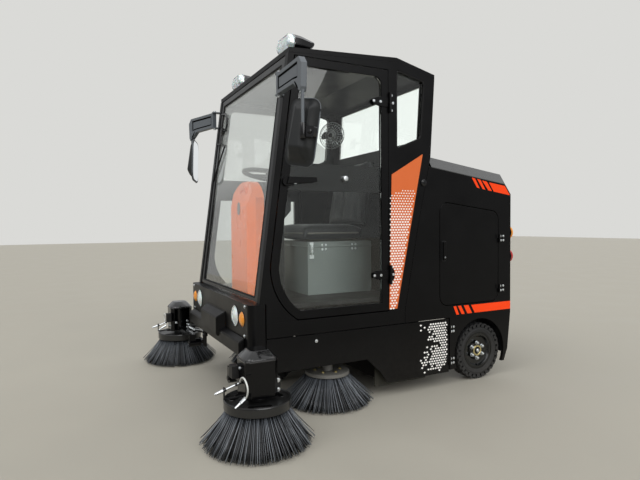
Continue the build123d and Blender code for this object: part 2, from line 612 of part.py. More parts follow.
def door():
    outer_x = BODY_HALF + DOOR_PROUD
    inner_x = outer_x - DOOR_THICK
    outer = door_outline(0)
    opening = offset(outer, -DOOR_FRAME, kind=Kind.INTERSECTION)
    high_corners = [corner for corner in opening.vertices() if corner.Y > DOOR_TOP - DOOR_FRAME - 1]
    opening = fillet(high_corners, DOOR_CORNER)
    middle = (inner_x + outer_x) / 2
    frame = side_face(outer, inner_x, outer_x) - side_face(opening, inner_x - 1, outer_x + 1)
    band = block((inner_x, middle - SEAT_GAP), (DOOR_FRONT_Y, DOOR_REAR - 2), DOOR_BAND)
    frame += band & side_face(outer, inner_x, outer_x)
    for z in DOOR_HINGES:
        tip = DOOR_PIN_Y - STRAP_LONG
        half = STRAP_HALF
        points = [(DOOR_REAR, z - half), (DOOR_REAR, z + half), (tip + 44, z + half - 2), (tip + 12, z + half - 12),
                  (tip, z), (tip + 12, z - half + 12), (tip + 44, z - half + 2)]
        strap = side_solid(points, outer_x - 1, outer_x + HINGE_SHEET)
        strap += block((outer_x - 1, outer_x + HINGE_SHEET), (DOOR_REAR - 1, DOOR_PIN_Y - 2), (z, z + half))
        strap += block((outer_x - 1, DOOR_PIN_X), (DOOR_PIN_Y - DOOR_PIN_R, DOOR_PIN_Y), (z, z + DOOR_KNUCKLE))
        frame += strap + rod_z(DOOR_PIN_X, DOOR_PIN_Y, z, z + DOOR_KNUCKLE, DOOR_PIN_R)
    front = door_front(HANDLE_Z) + 6
    plate_long, plate_tall, plate_thick = HANDLE_PLATE
    plate = side_face(Pos(front + plate_long / 2, HANDLE_Z) * RectangleRounded(plate_long, plate_tall, 22),
                      outer_x - 1, outer_x + plate_thick)
    lever = [(front + 20, HANDLE_Z - 12), (front + 30, HANDLE_Z + 24), (front + HANDLE_LONG, HANDLE_Z + 24),
             (front + HANDLE_LONG, HANDLE_Z), (front + plate_long + 20, HANDLE_Z - 8)]
    handle = plate + side_solid(lever, outer_x + plate_thick - 1, outer_x + plate_thick + 12)
    glass_face = offset(opening, -SEAT_GAP, kind=Kind.INTERSECTION)
    pair("door", frame + handle)
    pair("door_glass", side_face(glass_face, middle, middle + GLASS))


# Rear body

def cab_rear_y(z):
    """The rear edge of the cab side at a height below its waist."""
    if z > CAB_KNEE[1]:
        share = (z - CAB_KNEE[1]) / (CAB_WAIST[1] - CAB_KNEE[1])
        return along(CAB_KNEE[0], CAB_WAIST[0], share)
    share = (z - CAB_HEEL[1]) / (CAB_KNEE[1] - CAB_HEEL[1])
    return along(CAB_HEEL[0], CAB_KNEE[0], share)


def hatch_outline(grow):
    face = make_face(Polyline(*HATCH, close=True))
    face = fillet(face.vertices(), HATCH_CORNER)
    return face if grow == 0 else offset(face, grow, kind=Kind.INTERSECTION)


def small_hinge(x, y, z, top_half, toward):
    """Half of a small hinge: its knuckle and the leaf that joins it to a panel on one side of the pin."""
    z_range = (z, z + SMALL_KNUCKLE) if top_half else (z - SMALL_KNUCKLE, z - SEAT_GAP)
    knuckle = rod_z(x, y, *z_range, SMALL_PIN_R)
    leaf = block((BODY_HALF + SEAT_GAP, BODY_HALF + 4), tuple(sorted((y, y + toward * 24))), z_range)
    seat_y = tuple(sorted((y + toward * 10, y + toward * 24)))
    return knuckle + leaf + block((BODY_HALF - 1, BODY_HALF + 4), seat_y, z_range)


def rear_top_z(y):
    """Height of the rear side panel's upper edge."""
    share = (y - REAR_TOP_FRONT[0]) / (REAR_TOP_REAR[0] - REAR_TOP_FRONT[0])
    return along(REAR_TOP_FRONT[1], REAR_TOP_REAR[1], share)


def rear_side():
    inner = BODY_HALF - SHEET
    top_front_y = cab_rear_y(REAR_TOP_FRONT[1]) + 3
    low_front_y = CAB_HEEL[0] + 3
    outline = [
        (low_front_y, SKIRT_TOP + PANEL_GAP), (low_front_y, SILL_TOP), (cab_rear_y(CAB_KNEE[1]) + 3, CAB_KNEE[1]),
        (top_front_y, rear_top_z(top_front_y)), REAR_TOP_REAR, (BODY_REAR, REAR_SLOPE_FOOT),
        (BODY_REAR, REAR_CUT_TOP),
        REAR_CUT, REAR_TIP, (SKIRT_REAR + 8, BODY_LOW), (SKIRT_REAR + 8, SKIRT_TOP + PANEL_GAP),
    ]
    side = side_solid(outline, inner, BODY_HALF)
    side -= rod_x(REAR_WHEEL_Y, WHEEL_R, inner - 1, BODY_HALF + 1, ARCH_R)
    side -= side_face(hatch_outline(PANEL_GAP), inner - 1, BODY_HALF + 1)
    for z in HATCH_HINGES:
        side += small_hinge(HATCH_PIN_X, HATCH_PIN_Y, z, False, 1)
    for z in SKIRT_HINGES:
        side += small_hinge(SKIRT_PIN_X, SKIRT_REAR + 4, z, False, 1)
    return side


def hatch():
    inner = BODY_HALF - SHEET
    lid = side_face(hatch_outline(0), inner, BODY_HALF)
    for z in HATCH_HINGES:
        lid += small_hinge(HATCH_PIN_X, HATCH_PIN_Y, z, True, -1)
    lid += block((BODY_HALF - 1, BODY_HALF + HATCH_HANDLE_OUT), HATCH_HANDLE_Y, HATCH_HANDLE_Z)
    return lid


def skirt():
    outline = [(SKIRT_FRONT, SKIRT_TOP), (SKIRT_REAR, SKIRT_TOP), (SKIRT_REAR, SKIRT_LOW)]
    outline += list(SKIRT_STEP[::-1]) + [(SKIRT_FRONT, SKIRT_HIGH)]
    panel = side_solid(outline, BODY_HALF - SKIRT_THICK, BODY_HALF)
    for z in SKIRT_HINGES:
        panel += small_hinge(SKIRT_PIN_X, SKIRT_REAR + 4, z, True, -1)
    return panel


def cover_section(y, side_z, ridge_z, shrink):
    """One cross-section of the rear cover, as a face at a distance from the front."""
    half = BODY_HALF - shrink
    side = side_z - shrink
    ridge = ridge_z - shrink
    low = side_z - COVER_HEM - shrink
    points = [(-half, low), (-half, side), (RIDGE_INSET - half, ridge), (half - RIDGE_INSET, ridge),
              (half, side), (half, low)]
    plane = Plane(origin=(0, y, 0), x_dir=(1, 0, 0), z_dir=(0, -1, 0))
    return plane * make_face(Polyline(*points, close=True))


def rear_top_cover():
    front_y = cab_rear_y(CAB_WAIST[1]) + 8
    stations = (
        # y, height of the side edge, height of the ridge
        (front_y, rear_top_z(front_y), rear_top_z(front_y) + RIDGE_RISE),
        (REAR_TOP_REAR[0], REAR_TOP_REAR[1], REAR_TOP_REAR[1] + RIDGE_RISE),
        (BODY_REAR, REAR_SLOPE_FOOT, REAR_SLOPE_FOOT + 12),
    )
    cover = Part()
    hollow = Part()
    for first, second in zip(stations, stations[1:]):
        lift = COVER_HEM + SEAT_GAP
        pair_of = (first, second)
        cover += loft([cover_section(y, side + lift, ridge, 0) for y, side, ridge in pair_of], ruled=True)
        hollow += loft([cover_section(y, side + lift, ridge, COVER_WALL) for y, side, ridge in pair_of], ruled=True)
    return cover - hollow


def rear_panel():
    inner = BODY_HALF - SHEET - SEAT_GAP
    panel = block((-inner, inner), (BODY_REAR - SHEET, BODY_REAR), (REAR_PANEL_LOW, REAR_SLOPE_FOOT - COVER_WALL))
    count, lowest, pitch, tall = LOUVRES
    for index in range(count):
        z = lowest + index * pitch
        panel -= block((-LOUVRE_HALF, LOUVRE_HALF), (BODY_REAR - SHEET - 1, BODY_REAR + 1), (z, z + tall))
    return panel


def battery_pack():
    half = RAIL_X - 40
    return block((-half, half), (BATTERY_FRONT, BATTERY_REAR), (RAIL_LOW + RAIL_HIGH + SEAT_GAP, BATTERY_TOP))


# Sweeping gear

def bristle_cone(top_r, top_z):
    """The skirt of bristles of a side brush about the Z axis, spreading to the ground."""
    inner_top = top_r * 0.72
    low = BRISTLE_OFF_GROUND
    arc_out = ThreePointArc((top_r, top_z), (along(top_r, BRISTLE_R, 0.42), top_z * 0.5), (BRISTLE_R, low + 14))
    arc_in = ThreePointArc((BRISTLE_R - 50, low), (along(inner_top, BRISTLE_R - 50, 0.42), top_z * 0.46),
                           (inner_top, top_z))
    foot = Polyline((BRISTLE_R, low + 14), (BRISTLE_R - 4, low), (BRISTLE_R - 50, low))
    section = make_face(arc_out + foot + arc_in + Line((inner_top, top_z), (top_r, top_z)))
    return revolve(Plane.XZ * section, Axis.Z)


def front_brush():
    centre = Pos(FRONT_BRUSH_X, FRONT_BRUSH_Y, 0)
    dome = Polyline((0, FRONT_PLATE_LOW), (FRONT_PLATE_R, FRONT_PLATE_LOW), (FRONT_PLATE_R, FRONT_PLATE_LOW + 22))
    crown = ThreePointArc((FRONT_PLATE_R, FRONT_PLATE_LOW + 22), (FRONT_PLATE_R * 0.72, FRONT_PLATE_TOP - 8),
                          (FRONT_PLATE_R * 0.4, FRONT_PLATE_TOP))
    top = Polyline((FRONT_PLATE_R * 0.4, FRONT_PLATE_TOP), (0, FRONT_PLATE_TOP), (0, FRONT_PLATE_LOW))
    plate = revolve(Plane.XZ * make_face(dome + crown + top), Axis.Z)
    plate += rod_z(0, 0, FRONT_PLATE_TOP - 1, FRONT_PLATE_TOP + HUB_REACH - SEAT_GAP, 40)
    pair("front_brush_plate", centre * plate)
    pair("front_bristles", centre * bristle_cone(FRONT_PLATE_R - 12, FRONT_PLATE_LOW - SEAT_GAP))


def octagon(half, bevel=MOTOR_BOX_BEVEL):
    """A square with its corners cut off, as a flat face."""
    cut = half - bevel
    points = [(half, cut), (cut, half), (-cut, half), (-half, cut), (-half, -cut), (-cut, -half), (cut, -half),
              (half, -cut)]
    return make_face(Polyline(*points, close=True))


def front_arm():
    pin_x, pin_z = FRONT_ARM_PIN
    low = FRONT_PLATE_TOP + HUB_REACH
    half = MOTOR_BOX_HALF
    shoulder = MOTOR_BOX_TOP - MOTOR_BOX_BEVEL
    outer_box = extrude(Pos(0, 0, low) * octagon(half), shoulder - low)
    outer_box += loft([Pos(0, 0, shoulder) * octagon(half), Pos(0, 0, MOTOR_BOX_TOP) * octagon(half - MOTOR_BOX_BEVEL)])
    wall = 6.0
    cavity = extrude(Pos(0, 0, low - 1) * octagon(half - wall), shoulder - low)
    cavity += block((-half - 1, 0), (-half + 24, half - 24), (low - 1, shoulder - wall))
    motor = rod_z(0, 0, low, shoulder, 52)
    housing = Pos(FRONT_BRUSH_X, FRONT_BRUSH_Y, 0) * ((outer_box - cavity) + motor)
    beam_y = (FRONT_BRUSH_Y - 20, FRONT_BRUSH_Y + 20)
    beam = block((pin_x, FRONT_BRUSH_X - 20), beam_y, (low, low + 34))
    boss = rod_y(pin_x, pin_z, beam_y[0], FRAME_FRONT - 24, 26)
    boss += block((pin_x - 20, pin_x + 20), beam_y, (pin_z, low + 34))
    bore = rod_y(pin_x, pin_z, beam_y[0] - 40, FRAME_FRONT + 2, ARM_PIN_R + BORE_GAP)
    return housing + beam + boss - bore


def mid_arm():
    pin_x, pin_z = MID_ARM_PIN
    motor_low = MID_PLATE_TOP + MID_HUB_REACH
    motor = rod_z(MID_BRUSH_X, MID_BRUSH_Y, motor_low, motor_low + MID_MOTOR_TALL, 55)
    beam_y = (MID_BRUSH_Y - 18, MID_BRUSH_Y + 18)
    beam = block((pin_x, MID_BRUSH_X - 20), beam_y, (pin_z - 14, pin_z + 14))
    boss = rod_y(pin_x, pin_z, beam_y[0], MID_MEMBER_Y - 6, 24)
    bore = rod_y(pin_x, pin_z, beam_y[0] - 20, MID_MEMBER_Y + 2, ARM_PIN_R + BORE_GAP)
    return motor + beam + boss - bore


def mid_brush():
    centre = Pos(MID_BRUSH_X, MID_BRUSH_Y, 0)
    plate = rod_z(0, 0, MID_PLATE_LOW, MID_PLATE_TOP, MID_PLATE_R)
    hub = rod_z(0, 0, MID_PLATE_TOP - 1, MID_PLATE_TOP + MID_HUB_REACH - SEAT_GAP, 30)
    pair("mid_brush_plate", centre * (plate + hub))
    pair("mid_bristles", centre * bristle_cone(MID_PLATE_R - 6, MID_PLATE_LOW - SEAT_GAP))


def main_brush():
    centre_z = ROLLER_R + ROLLER_OFF_GROUND
    reach = ROLLER_HALF + ROLLER_SHAFT_REACH
    core = rod_x(ROLLER_Y, centre_z, -reach, reach, ROLLER_SHAFT_R)
    return core + rod_x(ROLLER_Y, centre_z, -ROLLER_HALF, ROLLER_HALF, ROLLER_R)


def brush_housing():
    outer = block((-HOUSING_HALF, HOUSING_HALF), (HOUSING_FRONT, HOUSING_REAR), (HOUSING_LOW, HOUSING_TOP))
    wall = HOUSING_WALL
    inside = block((-HOUSING_HALF + wall, HOUSING_HALF - wall), (HOUSING_FRONT + wall, HOUSING_REAR - wall),
                   (HOUSING_LOW - 1, HOUSING_TOP - wall))
    housing = outer - inside
    centre_z = ROLLER_R + ROLLER_OFF_GROUND
    housing += both_sides(rod_x(ROLLER_Y, centre_z, ROLLER_HALF + 24, HOUSING_HALF, 34))
    reach = ROLLER_HALF + ROLLER_SHAFT_REACH + 2
    housing -= rod_x(ROLLER_Y, centre_z, -reach, reach, ROLLER_SHAFT_R + BORE_GAP)
    hanger = block((RAIL_X - 12, RAIL_X + 12), (HOUSING_FRONT + 60, HOUSING_FRONT + 120),
                   (HOUSING_TOP - 1, RAIL_LOW - SEAT_GAP))
    hanger += block((RAIL_X - 12, RAIL_X + 12), (HOUSING_REAR - 120, HOUSING_REAR - 60),
                    (HOUSING_TOP - 1, RAIL_LOW - SEAT_GAP))
    return housing + both_sides(hanger)


def brush_flaps():
    x_range = (FLAP_X, FLAP_X + FLAP_THICK)
    side = block(x_range, FLAP_Y, (FLAP_LOW, FLAP_TOP - 5))
    side += block((HOUSING_HALF + SEAT_GAP, FLAP_X + FLAP_THICK), FLAP_Y, (FLAP_TOP - 10, FLAP_TOP))
    return both_sides(side)


# Cab fittings

def seat_box():
    return block((-SEAT_BOX_HALF, SEAT_BOX_HALF), (SEAT_BOX_FRONT, SEAT_BOX_REAR), (FLOOR_TOP + SEAT_GAP, SEAT_BOX_TOP))


def seat():
    half = SEAT_BOX_HALF - 70
    cushion = block((-half, half), (SEAT_BOX_FRONT + 10, SEAT_BOX_REAR - 20),
                    (SEAT_BOX_TOP + SEAT_GAP, SEAT_BOX_TOP + CUSHION_TALL))
    cushion = fillet(cushion.edges().filter_by(Axis.Z), 60)
    back = Box(*SEAT_BACK_SIZE)
    back = fillet(back.edges().filter_by(Axis.Y), 70)
    middle = SEAT_BOX_TOP + CUSHION_TALL - 10 + SEAT_BACK_SIZE[2] / 2
    return cushion + Pos(0, SEAT_BOX_REAR + 25, middle) * Rot(-SEAT_BACK_LEAN, 0, 0) * back


def steering_column():
    """The orange cover: bevelled front corners and a rounded top."""
    flat = COLUMN_HALF - COLUMN_BEVEL
    plan = make_face(Polyline((-COLUMN_HALF, COLUMN_REAR), (-COLUMN_HALF, COLUMN_FRONT + COLUMN_BEVEL),
                              (-flat, COLUMN_FRONT), (flat, COLUMN_FRONT), (COLUMN_HALF, COLUMN_FRONT + COLUMN_BEVEL),
                              (COLUMN_HALF, COLUMN_REAR), close=True))
    low = FLOOR_TOP + SEAT_GAP
    body = Pos(0, 0, low) * extrude(plan, COLUMN_TOP - low)
    top = COLUMN_TOP - COLUMN_SHOULDER
    gable = ThreePointArc((-COLUMN_HALF, COLUMN_SHOULDER), (-COLUMN_HALF * 0.66, COLUMN_TOP - top * 0.24),
                          (-COLUMN_HALF * 0.2, COLUMN_TOP))
    gable += Line((-COLUMN_HALF * 0.2, COLUMN_TOP), (COLUMN_HALF * 0.2, COLUMN_TOP))
    gable += ThreePointArc((COLUMN_HALF * 0.2, COLUMN_TOP), (COLUMN_HALF * 0.66, COLUMN_TOP - top * 0.24),
                           (COLUMN_HALF, COLUMN_SHOULDER))
    gable += Polyline((COLUMN_HALF, COLUMN_SHOULDER), (COLUMN_HALF, low), (-COLUMN_HALF, low),
                      (-COLUMN_HALF, COLUMN_SHOULDER))
    shape = extrude(Plane.XZ * make_face(gable), -COLUMN_REAR)
    lean = [(COLUMN_FRONT - 60, COLUMN_LEAN_Z), (COLUMN_FRONT, COLUMN_LEAN_Z),
            (COLUMN_FRONT + COLUMN_LEAN, COLUMN_TOP + 1), (COLUMN_FRONT - 60, COLUMN_TOP + 1)]
    return (body & shape) - side_solid(lean, -COLUMN_HALF - 1, COLUMN_HALF + 1)


def steering_console():
    """The black casing behind the cover, with the steering wheel's shaft in it."""
    start = COLUMN_REAR + SEAT_GAP
    outline = [(start + y, FLOOR_TOP + SEAT_GAP + z) for y, z in CONSOLE]
    casing = side_solid(outline, -CONSOLE_HALF, CONSOLE_HALF)
    return casing - STEER_PLACE * rod_z(0, 0, -STEER_SHAFT - 4, 0, STEER_SHAFT_R + SEAT_GAP)


def steering_wheel():
    wheel = Torus(STEER_RIM_R, 14)
    wheel += Cylinder(34, 30) + rod_z(0, 0, -STEER_SHAFT, 0, STEER_SHAFT_R)
    for index in range(3):
        wheel += Rot(0, 0, 90 + index * 120) * Pos(STEER_RIM_R / 2, 0, 0) * Box(STEER_RIM_R, 30, 12)
    return STEER_PLACE * wheel


def roof_light_section(y, half, low, top, cut):
    """An eight-sided cross-section of a roof light at a distance from the front."""
    points = [(-half + cut, low), (half - cut, low), (half, low + cut), (half, top - cut), (half - cut, top),
              (-half + cut, top), (-half, top - cut), (-half, low + cut)]
    plane = Plane(origin=(ROOF_LIGHT_X, y, 0), x_dir=(1, 0, 0), z_dir=(0, -1, 0))
    return plane * make_face(Polyline(*points, close=True))


def roof_lights():
    cut = ROOF_LIGHT_CUT
    low = ROOF_LIGHT_LOW
    top = ROOF_LIGHT_TOP
    half = ROOF_LIGHT_HALF
    brow = ROOF_LIGHT_Y + 36
    front = roof_light_section(ROOF_LIGHT_Y, half, low, top, cut)
    middle = roof_light_section(brow, half, low, top, cut)
    rear = roof_light_section(ROOF_LIGHT_REAR, half * 0.72, low + 22, top - 16, cut * 0.6)
    light = loft([front, middle], ruled=True) + loft([middle, rear], ruled=True)
    foot_y = (brow, brow + 40)
    foot = block((ROOF_LIGHT_X - 45, ROOF_LIGHT_X + 45), foot_y, (roof_z(foot_y[1]) + SEAT_GAP, low + 5))
    return both_sides(light + foot)


def mirror_arm(rise, swing):
    """A mirror arm, drawn along +X from its pivot and swung to the rear by an angle."""
    half = MIRROR_ARM_THICK / 2
    arm = extrude(Plane.XZ * make_face(Polyline(*MIRROR_ARM, close=True)), half, both=True)
    recess = extrude(Plane.XZ * make_face(Polyline(*MIRROR_RECESS, close=True)), MIRROR_RECESS_DEEP)
    arm -= Pos(0, MIRROR_RECESS_DEEP - half, 0) * recess
    return Pos(*MIRROR_PIVOT, rise) * Rot(0, 0, swing) * arm


def mirror_brackets(rise):
    """The two lugs that hold a mirror arm's pivot to the cab's front post."""
    pivot_x, pivot_y = MIRROR_PIVOT
    half = MIRROR_ARM_THICK / 2
    top = MIRROR_ARM[0][1] + rise
    low = MIRROR_ARM[-1][1] + rise
    lugs = Part()
    for z_from, z_to in ((top - 1, top + 7), (low - 7, low + 1)):
        lugs += block((pivot_x - 16, pivot_x + 20), (pivot_y - half, SCREEN_HEAD_Y), (z_from, z_to))
    high = ROOF_FRONT_Z - ROOF_THICK - SEAT_GAP
    post = [(SCREEN_FOOT_Y - SEAT_GAP, PANEL_TOP + SEAT_GAP), (SCREEN_HEAD_Y - 3 - SEAT_GAP, high),
            (SCREEN_HEAD_Y + 200, high), (SCREEN_HEAD_Y + 200, PANEL_TOP)]
    return lugs - side_solid(post, 0, BODY_HALF + 40)


def mirrors():
    arms = Part()
    heads = Part()
    pivot_x, pivot_y = MIRROR_PIVOT
    for side, rise, swing, (x, y, z), yaw, lean in MIRRORS:
        turn = radians(swing)
        stalk_x = pivot_x + MIRROR_STALK_AT * cos(turn)
        stalk_y = pivot_y + MIRROR_STALK_AT * sin(turn)
        arm_low = MIRROR_ARM[4][1] + rise
        stalk = rod_z(stalk_x, stalk_y, z - 30, arm_low + 30, STALK_R)
        arm = mirror_arm(rise, swing) + mirror_brackets(rise) + stalk
        shell = extrude(Plane.XZ * RectangleRounded(MIRROR_WIDE, MIRROR_TALL, MIRROR_CORNER), 80)
        profile = [(-depth, height) for depth, height in MIRROR_PROFILE]
        shell &= side_solid(profile, -MIRROR_WIDE, MIRROR_WIDE)
        head = Pos(x, y, z) * Rot(0, 0, yaw) * Rot(0, lean, 0) * shell
        head += Pos(stalk_x, stalk_y, z) * Cylinder(STALK_R + 9, CLAMP_TALL)
        head -= rod_z(stalk_x, stalk_y, z - 30 - SEAT_GAP, arm_low, STALK_R + SEAT_GAP)
        arms += arm if side > 0 else other_side(arm)
        heads += head if side > 0 else other_side(head)
    PARTS["mirror_arms"] = arms
    PARTS["mirror_heads"] = heads


PARTS["chassis_frame"] = chassis_frame()
PARTS["rear_axle"] = rear_axle()
wheels()
PARTS["front_panel"] = front_panel()
PARTS["front_bumper"] = front_bumper()
front_lamps()
pair("cab_side", cab_side())
PARTS["cab_roof"] = cab_roof()
PARTS["cab_rear_wall"] = cab_rear_wall()
PARTS["windscreen"] = windscreen()
PARTS["fixed_windows"] = fixed_windows()
PARTS["quarter_panels"] = quarter_panels()
PARTS["cab_floor"] = cab_floor()
PARTS["side_sills"] = side_sills()
door()
pair("rear_side", rear_side())
pair("hatch", hatch())
pair("skirt", skirt())
PARTS["rear_top_cover"] = rear_top_cover()
PARTS["rear_panel"] = rear_panel()
PARTS["battery_pack"] = battery_pack()
front_brush()
pair("front_arm", front_arm())
mid_brush()
pair("mid_arm", mid_arm())
PARTS["main_brush"] = main_brush()
PARTS["brush_housing"] = brush_housing()
PARTS["brush_flaps"] = brush_flaps()
PARTS["seat_box"] = seat_box()
PARTS["seat"] = seat()
PARTS["steering_column"] = steering_column()
PARTS["steering_console"] = steering_console()
PARTS["steering_wheel"] = steering_wheel()
PARTS["roof_lights"] = roof_lights()
mirrors()

os.makedirs("parts", exist_ok=True)
for name, shape in PARTS.items():
    export_step(Pos(0, -HALF_LENGTH_SHIFT, 0) * shape, f"parts/{name}.step")
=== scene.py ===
"""Looks of a compact ride-on road sweeper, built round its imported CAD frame.

Sizes are in millimetres and are read as in the drawings: x from the centre line to the driver's left, y
back from the front panel's face and z up from the ground. The `metres` function turns a point into the
frame's own metres.
"""
from __future__ import annotations

import json
import logging
import math
import random
from collections.abc import Iterable, Sequence
from dataclasses import dataclass, field
from enum import Enum
from typing import Any

import bmesh
import bpy
from mathutils import Matrix, Vector

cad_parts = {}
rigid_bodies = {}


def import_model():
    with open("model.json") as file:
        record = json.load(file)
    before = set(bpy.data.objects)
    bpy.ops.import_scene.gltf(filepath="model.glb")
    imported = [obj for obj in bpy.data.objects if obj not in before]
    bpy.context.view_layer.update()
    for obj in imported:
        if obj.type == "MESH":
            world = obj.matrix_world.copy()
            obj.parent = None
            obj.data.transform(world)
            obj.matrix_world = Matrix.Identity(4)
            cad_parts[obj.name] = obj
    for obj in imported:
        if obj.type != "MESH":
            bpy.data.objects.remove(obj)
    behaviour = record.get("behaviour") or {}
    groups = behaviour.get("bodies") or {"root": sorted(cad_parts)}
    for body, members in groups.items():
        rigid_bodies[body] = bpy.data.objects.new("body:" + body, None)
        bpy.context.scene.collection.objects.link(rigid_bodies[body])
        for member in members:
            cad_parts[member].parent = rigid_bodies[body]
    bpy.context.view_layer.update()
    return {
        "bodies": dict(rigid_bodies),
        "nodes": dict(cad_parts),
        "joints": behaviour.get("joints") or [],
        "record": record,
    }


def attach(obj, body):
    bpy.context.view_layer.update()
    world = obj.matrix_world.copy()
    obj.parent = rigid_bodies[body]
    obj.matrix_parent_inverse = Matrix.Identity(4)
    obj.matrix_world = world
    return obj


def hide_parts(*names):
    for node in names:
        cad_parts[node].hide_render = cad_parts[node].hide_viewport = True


LOG = logging.getLogger("sweeper")
FRONT_SHIFT = 771.0          # the front panel's face lies this far ahead of the frame's origin
BODY_HALF = 611.0            # centre line to the outer face of the side panels
FILM = 0.35                  # thickness of a printed film on a panel
FRONT_BRUSH = (835.0, -43.0)             # x, y of the left front brush's shaft
MID_BRUSH = (489.0, 506.5)               # x, y of the left middle brush's shaft
REAR_WHEEL = (553.0, 1556.0, 181.0)      # middle of the left rear wheel
FRONT_WHEEL = (0.0, 350.0, 181.0)
MM = 0.001
GLOSS_DRIFT = 0.14           # share by which the roughness drifts over a surface
DUST_TOP = 0.42              # metres above the ground where road dust begins
DUST_FULL = 0.02             # and where it is thickest
DUST_PATCHES = 38.0          # patches of dust in a metre
ROAD_DUST = "#8F897D"

Point = tuple[float, float, float]
Flat = tuple[float, float]


def metres(point: Sequence[float]) -> Vector:
    """Turn a drawing point in millimetres into the frame's metres.

    Args:
        point: x, y and z in millimetres.

    Returns:
        The same point in metres from the frame's origin.
    """
    return Vector((point[0] * MM, (point[1] - FRONT_SHIFT) * MM, point[2] * MM))


def linear(hex_colour: str) -> tuple[float, float, float, float]:
    """Turn an sRGB hex colour into linear light.

    Args:
        hex_colour: Six hex digits, with or without a leading mark.

    Returns:
        Red, green, blue and an alpha of 1.
    """
    digits = hex_colour.lstrip("#")
    shares = [int(digits[i:i + 2], 16) / 255 for i in (0, 2, 4)]
    light = [s / 12.92 if s <= 0.04045 else ((s + 0.055) / 1.055) ** 2.4 for s in shares]
    return (light[0], light[1], light[2], 1.0)


def add_node(tree: bpy.types.NodeTree, kind: str, settings: dict[str, Any] | None = None,
             values: dict[Any, Any] | None = None, links: dict[Any, Any] | None = None) -> bpy.types.Node:
    """Add one shader node with its settings, socket values and incoming links.

    Args:
        tree: The material's or world's node tree.
        kind: Blender's name of the node type.
        settings: Attributes of the node.
        values: Default values by the input socket's name or number.
        links: Output sockets by the input socket that they feed.

    Returns:
        The new node.
    """
    node = tree.nodes.new(kind)
    for name, value in (settings or {}).items():
        setattr(node, name, value)
    for socket, value in (values or {}).items():
        node.inputs[socket].default_value = value
    for socket, source in (links or {}).items():
        tree.links.new(source, node.inputs[socket])
    return node


def add_object(name: str, data: bpy.types.ID) -> bpy.types.Object:
    """Put a mesh, curve, lamp or camera into the scene.

    Args:
        name: The object's name.
        data: What it shows.

    Returns:
        The object.
    """
    made = bpy.data.objects.new(name, data)
    bpy.context.scene.collection.objects.link(made)
    return made


